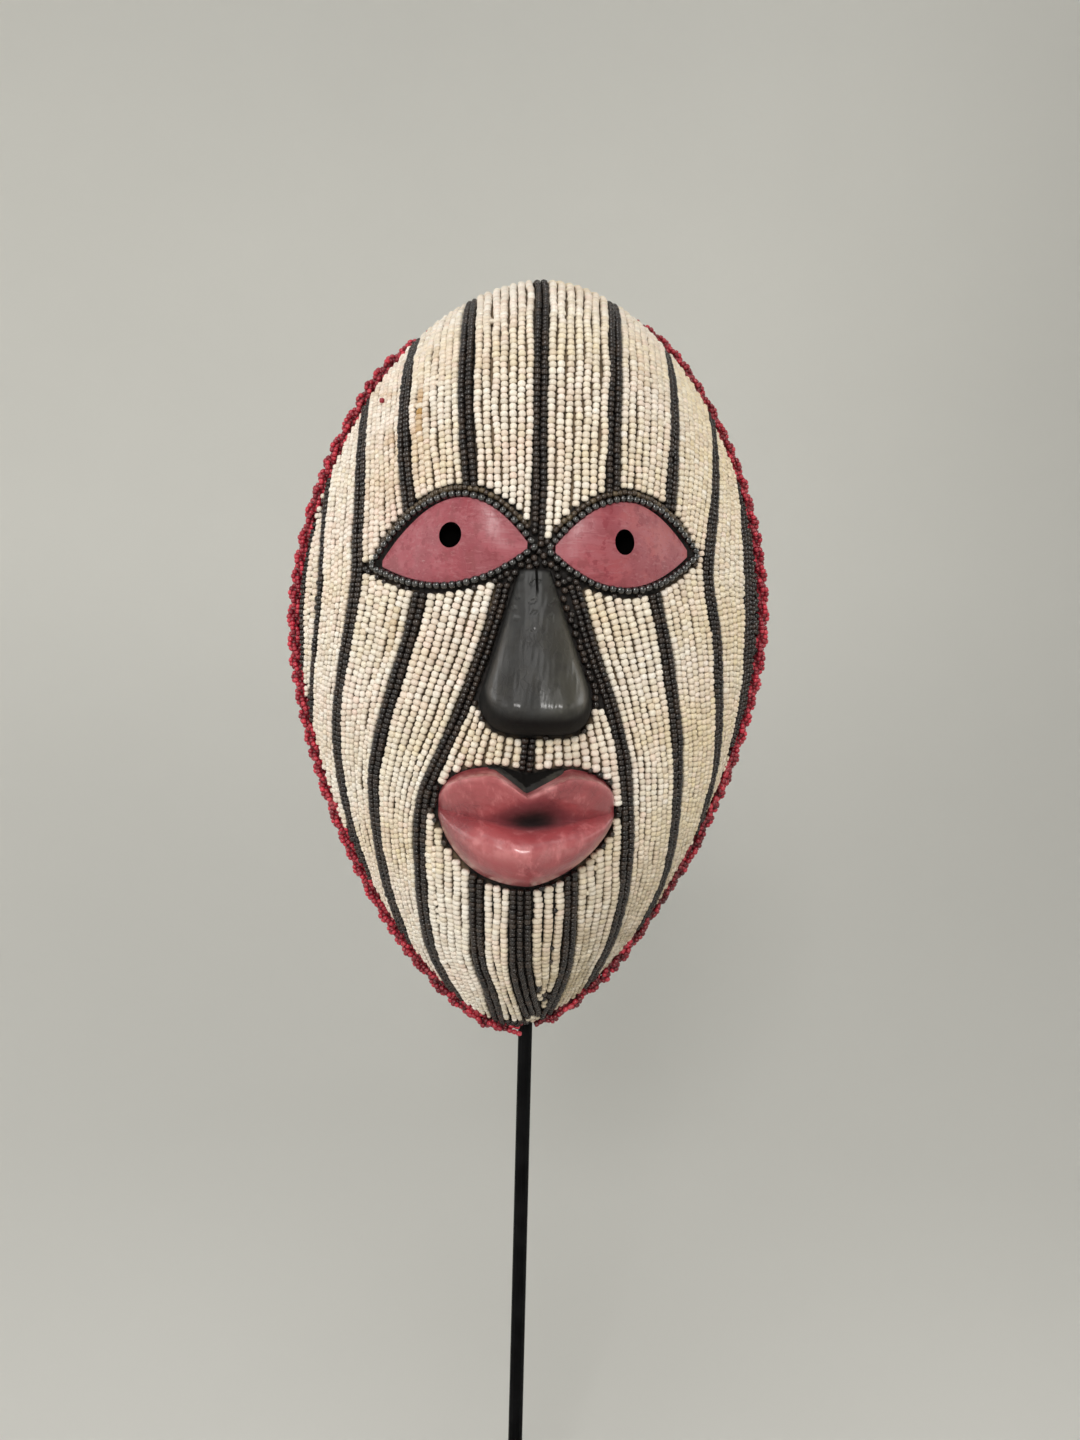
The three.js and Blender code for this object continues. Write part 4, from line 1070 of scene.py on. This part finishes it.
def pupil_form(side):
    """Plug that is cut out of the wood to leave the pupil's hole, a blind hole whose near-black floor is
    painted shade.
    """
    eye = EYES[side]
    sides = 48
    angles = np.linspace(0, 2 * math.pi, sides + 1)[:-1]
    x = eye["pupil"][0] + eye["hole"][0] * np.cos(angles)
    z = eye["pupil"][1] + eye["hole"][1] * np.sin(angles)
    floor = PUPIL_DEPTH - float(height(np.array(eye["pupil"][0]), np.array(eye["pupil"][1])))
    front = np.stack([x, np.full_like(x, floor - 20), z], -1)
    back = np.stack([x, np.full_like(x, floor), z], -1)
    ends = [[eye["pupil"][0], y, eye["pupil"][1]] for y in (floor - 20, floor)]
    points = np.concatenate([front, back, ends])
    ring = np.arange(sides)
    closed = np.append(ring, 0)
    triangles = np.concatenate([
        strip_triangles(closed, closed + sides), fan_triangles(2 * sides, ring)[:, ::-1],
        fan_triangles(2 * sides + 1, ring + sides)])
    return part_of_wood(mesh_object("pupil", to_frame(points), triangles), "pupils")


def shell_form():
    """The hollow shell, as rings from the face's middle out over the rim and back into the hollow."""
    around = 320
    angle = np.linspace(0, 2 * math.pi, around + 1)[:-1]

    def ring(reach, inset):
        x, z = rim_line(angle, reach, inset)
        y = np.zeros_like(x) if reach == 1 else -height(x, z, inset)
        return np.stack([x, y, z], -1)

    outer = [ring(reach, 0) for reach in np.sin(np.linspace(0.02, 1, 66) * math.pi / 2)]
    inner = [ring(reach, WALL) for reach in np.sin(np.linspace(1, 0.03, 44) * math.pi / 2)]
    for points in inner[1:]:
        gouges = np.abs(waver(points * (1, 1, 0.45), 17, 33)) + 0.35 * waver(points, 9, 34)
        points[:, 1] += 0.9 * gouges * smooth(-points[:, 1] / 12)
    zero = np.zeros(1)
    middle = [[[0, -float(height(zero, zero, inset)[0]), 0]] for inset in (0, WALL)]
    rows = len(outer) + len(inner)
    points = np.concatenate([np.concatenate(outer + inner), *middle])
    body = grid_triangles(rows, around, wrap=True)
    front = fan_triangles(rows * around, np.arange(around))[:, ::-1]
    back = fan_triangles(rows * around + 1, np.arange((rows - 1) * around, rows * around))
    triangles = np.concatenate([body[:, ::-1], front, back])
    obj = part_of_wood(mesh_object("mask_shell", to_frame(points), triangles[:, ::-1]), "ground")
    first = triangles.min(1) // around
    last = triangles.max(1)
    inside = ((first >= len(outer) - 1) & (last != rows * around)) | (last == rows * around + 1)
    obj.data.polygons.foreach_set("material_index", inside.astype(np.int32))
    return obj


def combine(base, tool, operation):
    """Joins or cuts base with tool and removes the tool."""
    change = base.modifiers.new(operation.lower(), "BOOLEAN")
    change.operation = operation
    change.object = tool
    change.solver = "EXACT"
    change.material_mode = "INDEX"
    bpy.context.view_layer.update()
    made = bpy.data.meshes.new_from_object(base.evaluated_get(bpy.context.evaluated_depsgraph_get()))
    base.modifiers.clear()
    base.data = made
    bpy.data.objects.remove(tool)


def ground_shade(x, z):
    """Where the ground between the beads is dark: under the stripes and round the eyes and the nose."""
    dark = np.zeros_like(x)
    for name, (_, points) in STRIPES.items():
        left, right = stripe_edges(name)
        past_left, past_right = 20 * (name == "left_rim"), 20 * (name == "right_rim")
        within = np.minimum(x - left(z) + past_left, right(z) + past_right - x)
        ends = np.minimum(points[0][0] + 3 - z, z - points[-1][0] + 3)
        dark = np.maximum(dark, smooth((np.minimum(within, ends) + 1.2) / 1.2))
    for eye in EYES.values():
        distance, above = eye_distance(eye, x, z)
        dark = np.maximum(dark, smooth((3.4 + 2.4 * above - distance) / 1.2))
    nose, lips = nose_distance(x, z), lip_distance(x, z, 0.25)
    dark = np.maximum(dark, smooth(((np.where(z > -40, 5, 2.4)) - nose) / 1.5))
    reach = np.where(np.abs(x - LIPS["x"]) > 0.8 * LIPS["half"], 5, 2)
    dark = np.maximum(dark, smooth((reach - lips) / 1.5))
    root = smooth((15 - np.abs(x + 1.5)) / 2) * smooth((z - 4) / 2) * smooth((27 - z) / 2)
    chin = smooth((22 - np.abs(x + 2)) / 3) * smooth((-98 - z) / 5)
    return np.maximum.reduce([dark, root, chin])


def placed(obj, name, nodes, material=None):
    """Names a finished piece, puts it on the root body, gives it its material if one is given, and hides the
    parts of the model that it takes the place of.
    """
    if material:
        obj.data.materials.append(material)
    obj.name = name
    obj.data.name = name
    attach(obj, "root")
    if nodes:
        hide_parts(*nodes)


class MASK_OT_carved_wood(Operator):
    """Build the carved shell with its nose, lips and eyes"""
    bl_idname = "mask.carved_wood"
    bl_label = "Carved wood"

    def execute(self, context):
        mask = shell_form()
        for form in (nose_form(), notch_form(), lip_form(), eye_form("left"), eye_form("right")):
            combine(mask, form, "UNION")
        for side in EYES:
            combine(mask, pupil_form(side), "DIFFERENCE")
        mesh = mask.data
        parts = np.empty(len(mesh.polygons), np.int32)
        mesh.polygons.foreach_get("material_index", parts)
        mesh.materials.clear()
        for material in (bead_ground(), raw_wood(), nose_paint(), lip_paint(), eye_paint(), pupil_shade_paint()):
            mesh.materials.append(material)
        mesh.polygons.foreach_set("material_index", parts)
        mesh.shade_smooth()
        mesh.set_sharp_from_angle(angle=math.radians(42))
        points = (coordinates(mask).astype(float) - PLACE) / MM
        x, z = points[:, 0], points[:, 2]
        set_attribute(mask, "ground_dark", ground_shade(x, z))
        # Painted shade in the mouth, under the nose and at the eyes' edges, with the blackened notch and the
        # handling on the rim.
        set_attribute(mask, "hollow", self.shade_and_dark_wood(points))
        set_attribute(mask, "edge", self.edges(points))
        placed(mask, "carved_wooden_mask", ["wooden_mask"])
        return {"FINISHED"}

    @staticmethod
    def shade_and_dark_wood(points):
        """Dark places: painted shade along the mouth line, in the nose's crack, under it and round its foot,
        and at the eyes' edges; the blackened notch; handling along the rim behind.
        """
        x, y, z = points.T
        s = (x - LIPS["x"]) / LIPS["half"]
        # Painted shade along the mouth line, deepest in its open middle.
        middle = lip_edges(s)[1]
        open_part = np.exp(-((s - 0.06) / 0.42) ** 2)
        over = z - middle - 0.4
        reach = 1.0 + np.where(over > 0, 8.0, 0.7) * open_part
        mouth = (0.12 + 0.88 * open_part) * np.exp(-(over / reach) ** 2)
        # Painted shade in the nose's crack, under it and round its foot.
        crack = np.exp(-((x - nose_middle(z) - 0.5) / 0.4) ** 2) * smooth((z - 4) / 3)
        beneath = nose_bottom((x - nose_middle(z)) / nose_width(z)) - z
        under = 0.95 * smooth((beneath + 9) / 5)
        nose = np.maximum.reduce([crack, under, smooth((nose_distance(x, z) + 1.6) / 1.6)])
        # Painted shade at the edges of the eyes.
        eye = np.zeros_like(x)
        for one in EYES.values():
            eye = np.maximum(eye, smooth((eye_distance(one, x, z)[0] + 3.4) / 1.6))
        behind = smooth((y + 12) / 10)
        near_lips = lip_distance(x, z) < 1
        near_nose = nose_distance(x, z) < 1
        notch = 0.7 * (lip_distance(x, z, 0.25) < 1)
        front = np.where(near_lips, mouth, np.where(near_nose, nose, np.maximum(notch, eye)))
        dark = np.where((y + height(x, z) > 5) | (y > -2), behind, front)
        return np.clip(dark, 0, 1)

    @staticmethod
    def edges(points):
        """Pale places: the upper lip's crest, rubbed and with a painted highlight; the lower lip's ridge, a
        painted highlight; a pale ring round each pupil and a scratch.
        """
        x, _, z = points.T
        s = (x - LIPS["x"]) / LIPS["half"]
        upper, middle, lower = lip_edges(s)
        # Upper lip's crest: pale rubs with a painted highlight, strongest beside the dip.
        peak = np.exp(-((np.abs(s + 0.03) - 0.2) / 0.13) ** 2)
        crest = (0.55 + 0.85 * peak) * np.exp(-((z - upper + 2.2) / 1.4) ** 2)
        # Lower lip's ridge: a painted highlight, strongest on the left.
        highlight_strength = 0.45 + 0.6 * np.exp(-((s + 0.58) / 0.24) ** 2)
        ridge = highlight_strength * (1 - s * s) * np.exp(-((z - middle - 0.42 * (lower - middle)) / 2.8) ** 2)
        ring = np.zeros_like(x)
        for eye in EYES.values():
            away = np.hypot(x - eye["pupil"][0], z - eye["pupil"][1])
            inward = np.hypot((x - eye["pupil"][0] * 0.66) / 11, (z - eye["pupil"][1] - 2.5) / 5.5)
            ring = np.maximum.reduce([ring, np.exp(-((away - 5) / 3) ** 2), 1.1 * np.exp(-inward ** 2)])
        scratch = 2 * np.exp(-np.hypot((x + 43.5) / 1.3, (z - 17.4) / 0.7) ** 2)
        return np.where(lip_distance(x, z) < 1, np.maximum(crest, ridge), np.maximum(ring, scratch))


class MASK_OT_white_beads(Operator):
    """Sew the white fields of bead strings between the stripes"""
    bl_idname = "mask.white_beads"
    bl_label = "White beads"

    def execute(self, context):
        settings = context.scene.mask_beads
        material = white_glass()
        groups = {
            "forehead": "forehead", "sides": "side", "cheeks": "cheek", "lip_and_chin": ("lip", "chin")}
        for number, (part, starts) in enumerate(groups.items()):
            piece = f"white_beads_{part}"
            fields = [name for name in FIELDS if name.startswith(starts)]
            beads = Beads(100 + number)
            for field in fields:
                self.sew(beads, field, settings.white_pitch)
            places = np.concatenate(beads.centres)
            obj = beads.build(piece, SEED_BEAD, self.looks(places, beads.rng))
            placed(obj, piece, [f"white_beads_{field}" for field in fields], material)
        return {"FINISHED"}

    @staticmethod
    def sew(beads, field, pitch):
        before, after, strings, top, bottom = FIELDS[field]
        left = stripe_edges(before)[1]
        right = stripe_edges(after)[0]
        spacing = string_spacing(left, right, strings)
        for k in range(strings):
            share = (k + 0.5) / strings
            sway = beads.rng.uniform(0, 100)
            end = bottom + beads.rng.uniform(0, 8) * (field == "chin_right_inner")

            def x_of(z, share=share, sway=sway):
                across = right(z) - left(z)
                path = np.stack([z, np.full_like(z, share * 9)], -1)
                own = 0.33 * waver(np.stack([z, np.full_like(z, sway)], -1), 18, 7)
                return left(z) + across * share + 0.45 * waver(path, 40, 3) + own

            def width(x, z):
                return np.clip(spacing(x, z) * 0.94, 1.7, 3.7)

            string_on_mask(beads, x_of, top, end, width, pitch, WHITE_PROUD, play=0.1)

    @staticmethod
    def looks(places, rng):
        """How yellow, how pink and how stained each bead is, from 0 to 1."""
        x, _, z = places.T
        flat = places[:, [0, 2]]
        warm = 0.25 + 0.35 * smooth((x - 10) / 60) + 0.3 * waver(flat, 60, 12) + rng.normal(0, 0.16, len(x))
        temple = 0.5 * np.exp(-np.hypot(x + 58, z - 40) / 22)
        blush = 0.12 + temple + 0.2 * waver(flat, 40, 13) + rng.normal(0, 0.2, len(x))
        stain = np.zeros(len(x))
        for sx, sz, wide, tall, strength in (
                (-46.5, 74, 1.6, 12, 1.0), (-49, 60, 1.4, 9, 0.7), (-57.5, 67, 3.5, 4, 0.6),
                (-61, 88, 3, 3, 0.6), (-62, 46, 8, 7, 0.25), (-55, -9, 1.5, 7, 0.6),
                (37, 92, 2, 8, 0.35)):
            stain = np.maximum(stain, strength * np.exp(-((x - sx) / wide) ** 2 - ((z - sz) / tall) ** 2))
        stain = stain * rng.uniform(0.2, 1.2, len(x))
        return {key: np.clip(values, 0, 1) for key, values in
                (("bead_warm", warm), ("bead_blush", blush), ("bead_stain", stain))}


class MASK_OT_dark_beads(Operator):
    """Sew the dark stripes of bead strings"""
    bl_idname = "mask.dark_beads"
    bl_label = "Dark stripes"

    def execute(self, context):
        settings = context.scene.mask_beads
        beads = Beads(200)
        for name, (strings, points) in STRIPES.items():
            left, right = stripe_edges(name)
            spacing = string_spacing(left, right, strings)
            for k in range(strings):
                share = (k + 0.5) / strings

                def x_of(z, share=share):
                    path = np.stack([z, np.zeros_like(z)], -1)
                    return left(z) + (right(z) - left(z)) * share + 0.3 * waver(path, 35, 3)

                def width(x, z):
                    return np.clip(spacing(x, z), 1.5, 2.9)

                string_on_mask(
                    beads, x_of, points[0][0], points[-1][0], width, settings.dark_pitch, DARK_PROUD,
                    play=0.08, rim=4.0, eye_up=2.6, eye_down=2.2, wood=0.8)
        material = dark_glass("dark_glass_beads", settings.jet, settings.umber)
        obj = beads.build("dark_bead_stripes", SEED_BEAD)
        stripes = [f"black_stripe_{name}" for name in STRIPES]
        placed(obj, "dark_bead_stripes", stripes, material)
        return {"FINISHED"}


class MASK_OT_eye_beads(Operator):
    """Thread the round beads round each eye and the duller string over it"""
    bl_idname = "mask.eye_beads"
    bl_label = "Eye beads"

    def execute(self, context):
        settings = context.scene.mask_beads
        size = settings.eye_bead
        shiny = round_glass()
        dull = dark_glass("brown_glass_beads", settings.umber, srgb(96, 82, 62))
        for number, (side, eye) in enumerate(EYES.items()):
            beads = Beads(300 + number)
            t = np.linspace(0, 1, 1201)
            s = np.where(t < 0.5, 4 * t - 1, 3 - 4 * t)
            upper = t < 0.5
            x, z = eye_line(eye, s, np.where(upper, eye["up"], -eye["down"]))
            points = on_mask(x, z, np.full_like(x, 1.3 + size / 2))
            beads.string(
                points, facing(x, z), size * 1.05, np.full_like(x, size * 0.98), play=0.08, lift=0.06)
            name = f"round_beads_eye_{side}"
            placed(beads.build(name, ROUND_BEAD), name, [f"{side}_eye_beads"], shiny)
            brow = Beads(310 + number)
            s = np.linspace(-0.86, 0.86, 400)
            half = (eye["b"][0] - eye["a"][0]) / 2
            slope = -2 * eye["up"] * s / half
            x, z = eye_line(eye, s, eye["up"])
            away = size / 2 + 1.0
            x, z = x - away * slope / np.hypot(1, slope), z + away / np.hypot(1, slope)
            brow.string(
                on_mask(x, z, np.full_like(x, 1.4)), facing(x, z), 2.1, np.full_like(x, 2.2), play=0.12)
            name = f"brow_beads_{side}"
            placed(brow.build(name, SEED_BEAD), name, [f"{side}_brow_strand"], dull)
        return {"FINISHED"}


class MASK_OT_loose_beads(Operator):
    """Fill the gaps where strings end with single beads, dark on dark ground"""
    bl_idname = "mask.loose_beads"
    bl_label = "Filling beads"

    def execute(self, context):
        sewn = [bead_centres(obj) for obj in bpy.data.objects if "points_per_bead" in obj]
        tree = nearest(np.concatenate(sewn))
        rng = np.random.default_rng(500)
        x, z = np.meshgrid(np.arange(-98, 98, 0.7), np.arange(-170, 143, 0.7))
        x = (x + rng.uniform(-0.3, 0.3, x.shape)).ravel()
        z = (z + rng.uniform(-0.3, 0.3, z.shape)).ravel()
        free = bead_room(x, z, rim=4.4, eye_up=2.4, eye_down=2.2, wood=0.9) > 0
        x, z = x[free], z[free]
        places = on_mask(x, z, np.full_like(x, 1.5))
        gap = np.array([tree.find(place)[2] for place in places])
        order = [i for i in rng.permutation(len(x)) if gap[i] > FILL_GAP]
        taken = []
        for i in order:
            if not taken or np.linalg.norm(places[taken] - places[i], axis=1).min() > FILL_APART:
                taken.append(i)
        taken = np.array(taken)
        dark = ground_shade(x[taken], z[taken]) > 0.5
        stray = np.hypot((x[taken] - 7) / 10, (z[taken] + 157) / 9) < 1
        dark &= ~(stray & (rng.uniform(size=len(taken)) < 0.5))
        for name, chosen, material, slot in (
                ("loose_white_beads", taken[~dark], "cream_glass_beads", "white_beads"),
                ("loose_dark_beads", taken[dark], "dark_glass_beads", "dark_beads")):
            beads = Beads(510)
            out = facing(x[chosen], z[chosen])
            down = np.array([0.0, 0.0, -1.0]) + rng.normal(0, 0.25, (len(chosen), 3))
            along = down - out * np.sum(down * out, 1, keepdims=True)
            along /= np.linalg.norm(along, axis=1, keepdims=True)
            room = np.clip(gap[chosen] * 0.98, 1.9, 2.6)
            moved = places[chosen] + out * rng.normal(0, 0.15, (len(chosen), 1))
            beads.add(moved, along, out, room * 0.85, room)
            looks = MASK_OT_white_beads.looks(places[chosen], rng)
            obj = beads.build(name, SEED_BEAD, looks if slot == "white_beads" else None)
            placed(obj, name, [], bpy.data.materials[material])
        return {"FINISHED"}


def rope_path(angle):
    """Middle line of the rope along the rim, in front of its edge and tucked behind it at the crown."""
    degrees = np.degrees(angle) % 360
    tuck = smooth((degrees - 40) / 45) * smooth((144 - degrees) / 30)
    turn = np.radians(-62 + 182 * tuck)
    along = rim_edge(angle + 0.02) - rim_edge(angle - 0.02)
    along /= np.linalg.norm(along, axis=-1, keepdims=True)
    outward = np.stack([along[:, 2], np.zeros(len(angle)), -along[:, 0]], -1)
    lift = outward * np.cos(turn)[:, None]
    lift[:, 1] = np.sin(turn)
    return rim_edge(angle) + ROPE_AWAY * lift


class MASK_OT_rope(Operator):
    """Twist the rope of red bead strings round the rim"""
    bl_idname = "mask.rope"
    bl_label = "Rope edging"

    def execute(self, context):
        settings = context.scene.mask_rope
        degrees = np.linspace(ROPE_START, ROPE_START + ROPE_TURN, 7201)
        path = rope_path(np.radians(degrees))
        lengths = np.concatenate([[0], np.cumsum(np.linalg.norm(np.diff(path, axis=0), axis=1))])
        total = lengths[-1]
        where = np.arange(0, total, 0.4)
        path = np.stack([np.interp(where, lengths, path[:, k]) for k in range(3)], -1)
        degrees = np.interp(where, lengths, degrees)
        frayed = self.frayed(degrees)
        along = np.gradient(path, axis=0)
        along /= np.linalg.norm(along, axis=1, keepdims=True)
        side = np.cross(np.array([0, -1.0, 0]), along)
        side /= np.linalg.norm(side, axis=1, keepdims=True)
        up = np.cross(along, side)
        line = np.stack([where, np.zeros_like(where)], -1)
        path = path + up * (0.3 * waver(line, 40, 44) + 0.5 * frayed * waver(line, 9, 45))[:, None]
        thin = np.clip(np.minimum(where, total - where) / 8, 0.35, 1)
        thin *= 1 - 0.4 * np.exp(-((degrees - 313) / 7) ** 2) + 0.1 * np.exp(-((degrees - 300) / 5) ** 2)
        thin *= 1 - 0.25 * smooth((degrees - 375) / 30) * smooth((470 - degrees) / 20)
        beads = Beads(400)
        for k in range(ROPE_STRANDS * ROPE_STRINGS):
            own = np.stack([where, np.full_like(where, 50.0 * k)], -1)
            phase = math.pi * (k // ROPE_STRINGS - 2 * where / settings.turn) + 1.1 * waver(line, 60, 50)
            radius = (1.6 + 0.1 * waver(own, 22, 40) + 0.3 * frayed * waver(own, 7, 41)) * thin
            out = side * np.cos(phase)[:, None] + up * np.sin(phase)[:, None]
            own_phase = 2 * math.pi * (k / ROPE_STRINGS + where / settings.turn)
            own_out = side * np.cos(own_phase)[:, None] + up * np.sin(own_phase)[:, None]
            points = path + out * radius[:, None] + own_out * thin[:, None]
            widths = settings.bead * (0.6 + 0.4 * thin)
            beads.string(points, own_out, ROPE_PITCH, widths, play=0.1, lift=0.06)
        self.loose_ends(beads, path, along, side, up, frayed)
        self.remains(beads)
        places = np.concatenate(beads.centres)
        tree = nearest(path)
        found = [tree.find(place) for place in places]
        # Painted shade: beads near the rope's middle line, deep between the strands, are darkened.
        inner = np.array([1.1 - distance / 2.1 for _, _, distance in found])
        worn = frayed[[number for _, number, _ in found]] * beads.rng.uniform(0.0, 0.9, len(places))
        worn = np.clip(worn + np.clip(inner, 0, 0.8), 0, 1)
        obj = beads.build("rope_of_red_beads", SEED_BEAD, {"bead_worn": worn})
        placed(obj, "rope_of_red_beads", ["red_rope_edging"], red_glass())
        return {"FINISHED"}

    @staticmethod
    def frayed(degrees):
        """How worn the rope is, from 0 to 1: mostly low on the right and near the chin."""
        right = smooth((degrees - 276) / 8) * smooth((342 - degrees) / 14)
        left = smooth((degrees - 590) / 20) + smooth((degrees - 230) / 20) * (degrees < 270)
        return np.clip(0.15 + 0.85 * np.maximum(right, 0.6 * left), 0, 1)

    @staticmethod
    def loose_ends(beads, path, along, side, up, frayed):
        """Short ends of string that have come out of the worn rope."""
        worn = np.flatnonzero(frayed > 0.6)
        for start in beads.rng.choice(worn, 30, replace=False):
            steps = np.linspace(0, beads.rng.uniform(4, 8), 24)
            lean = beads.rng.uniform(-0.5, 0.5)
            swing = beads.rng.uniform(0.5, 2.2)
            lift = side[start] * math.cos(swing) + up[start] * math.sin(swing)
            curl = np.sin(steps / 3)[:, None] * side[start] * lean * 1.5
            points = path[start] + lift * 2.6 + along[start] * steps[:, None] + curl
            outward = np.tile(lift, (len(steps), 1))
            widths = np.full(len(steps), ROPE_BEAD)
            beads.string(points, outward, ROPE_PITCH, widths, play=0.2, lift=0.15)

    @staticmethod
    def remains(beads):
        """The few beads left at the chin, where the rope has worn away, and one astray on the temple."""
        degrees = beads.rng.uniform(270, 277, 5)
        centres = rope_path(np.radians(degrees)) * (0.99, 1, 0.985) + beads.rng.normal(0, 0.4, (5, 3))
        x, z = np.array([-60.5]), np.array([84.5])
        centres = np.concatenate([centres, on_mask(x, z, np.full(1, 3.4))])
        along = np.tile([1.0, 0, 0], (6, 1))
        out = np.tile([0, -1.0, 0], (6, 1))
        beads.add(centres, along, out, np.full(6, ROPE_PITCH), np.full(6, ROPE_BEAD))


class MASK_OT_stand(Operator):
    """Paint the rod and the foot plate"""
    bl_idname = "mask.stand"
    bl_label = "Stand"

    def execute(self, context):
        for name, wear in (("stand_rod", 1.0), ("stand_base", 0.7)):
            obj = frame["nodes"][name]
            obj.data.materials.clear()
            obj.data.materials.append(black_steel(f"black_paint_{name}", wear))
        return {"FINISHED"}


class MASK_OT_stage(Operator):
    """Build the pale floor and backdrop, the lights and the camera"""
    bl_idname = "mask.stage"
    bl_label = "Stage"

    def execute(self, context):
        backdrop = self.backdrop(context.scene.mask_stage)
        self.lights(context.scene, backdrop)
        self.camera(context.scene)
        return {"FINISHED"}

    @staticmethod
    def backdrop(settings):
        """A round pale floor that turns up slowly into a wall all round, open at the top."""
        radius = settings.radius
        bend = radius - 0.6
        profile = [(r, 0.0) for r in np.linspace(0.02, radius - bend, 6)]
        profile += [
            (radius - bend + bend * math.sin(t), bend - bend * math.cos(t))
            for t in np.linspace(0, math.pi / 2, 30)[1:]]
        profile += [(radius, bend + 1.2)]
        around = 96
        angles = np.arange(around) * 2 * math.pi / around
        rings = np.concatenate([
            np.stack([r * np.cos(angles), r * np.sin(angles), np.full(around, z)], -1) for r, z in profile])
        points = np.concatenate([rings, [[0, 0, 0]]])
        triangles = np.concatenate([
            grid_triangles(len(profile), around, wrap=True), fan_triangles(len(rings), np.arange(around))])
        obj = mesh_object("backdrop", points, triangles)
        obj.data.materials.append(pale_wall(settings.wall))
        return obj

    @staticmethod
    def lights(scene, backdrop):
        """Soft lights in front, above and at the sides, and two behind that leave the backdrop alone."""
        target = Vector(LIGHT_TARGET)
        lit = bpy.data.collections.new("not_lit_from_behind")
        lit.objects.link(backdrop)
        lit.collection_objects[0].light_linking.link_state = "EXCLUDE"
        for name, (place, size, power, tint) in LIGHTS.items():
            data = bpy.data.lights.new(name, "AREA")
            data.size = size
            data.energy = power
            data.color = tint
            light = bpy.data.objects.new(name, data)
            light.visible_camera = False
            if name.startswith("back"):
                light.light_linking.receiver_collection = lit
            scene.collection.objects.link(light)
            light.location = place
            light.rotation_euler = (target - light.location).to_track_quat("-Z", "Y").to_euler()
        world = bpy.data.worlds.new("pale_room")
        scene.world = world
        world.use_nodes = True
        sky = world.node_tree.nodes["Background"].inputs
        sky["Color"].default_value = SKY_COLOUR
        sky["Strength"].default_value = SKY_STRENGTH
        scene.view_settings.view_transform = "Standard"

    @staticmethod
    def camera(scene):
        data = bpy.data.cameras.new("camera")
        data.sensor_width = 36
        data.lens = FOCAL_LENGTH
        data.clip_start = 0.01
        camera = bpy.data.objects.new("camera", data)
        scene.collection.objects.link(camera)
        forward = Vector((math.sin(CAMERA_YAW), math.cos(CAMERA_YAW), 0))
        level = Vector((math.cos(CAMERA_YAW), -math.sin(CAMERA_YAW), 0))
        upright = Vector((0, 0, 1))
        up = upright * math.cos(CAMERA_ROLL) - level * math.sin(CAMERA_ROLL)
        right = level * math.cos(CAMERA_ROLL) + upright * math.sin(CAMERA_ROLL)
        turn = Matrix((right, up, -forward)).transposed().to_4x4()
        place = Vector(PLACE) + Vector(CAMERA_PLACE)
        camera.matrix_world = Matrix.Translation(place) @ turn
        scene.camera = camera


class MASK_PT_panel(Panel):
    """Sizes, colours and pieces of the mask"""
    bl_idname = "MASK_PT_panel"
    bl_label = "Beaded face mask"
    bl_space_type = "VIEW_3D"
    bl_region_type = "UI"
    bl_category = "Mask"

    def draw(self, context):
        for name in SETTINGS:
            box = self.layout.box()
            settings = getattr(context.scene, name)
            for key in settings.__annotations__:
                box.prop(settings, key)
        for operator in OPERATORS:
            self.layout.operator(operator.bl_idname)


SETTINGS = {
    "mask_beads": BeadSettings,
    "mask_wood": WoodSettings,
    "mask_rope": RopeSettings,
    "mask_stand": StandSettings,
    "mask_stage": StageSettings,
}
OPERATORS = (
    MASK_OT_stage, MASK_OT_carved_wood, MASK_OT_white_beads, MASK_OT_dark_beads, MASK_OT_eye_beads,
    MASK_OT_loose_beads, MASK_OT_rope, MASK_OT_stand)
CLASSES = (*SETTINGS.values(), *OPERATORS, MASK_PT_panel)


def register():
    for cls in CLASSES:
        bpy.utils.register_class(cls)
    for name, cls in SETTINGS.items():
        setattr(bpy.types.Scene, name, PointerProperty(type=cls))


def unregister():
    for name in SETTINGS:
        delattr(bpy.types.Scene, name)
    for cls in reversed(CLASSES):
        bpy.utils.unregister_class(cls)


def main():
    register()
    bpy.ops.mask.stage()
    bpy.ops.mask.carved_wood()
    bpy.ops.mask.white_beads()
    bpy.ops.mask.dark_beads()
    bpy.ops.mask.eye_beads()
    bpy.ops.mask.loose_beads()
    bpy.ops.mask.rope()
    bpy.ops.mask.stand()


if __name__ == "__main__":
    main()
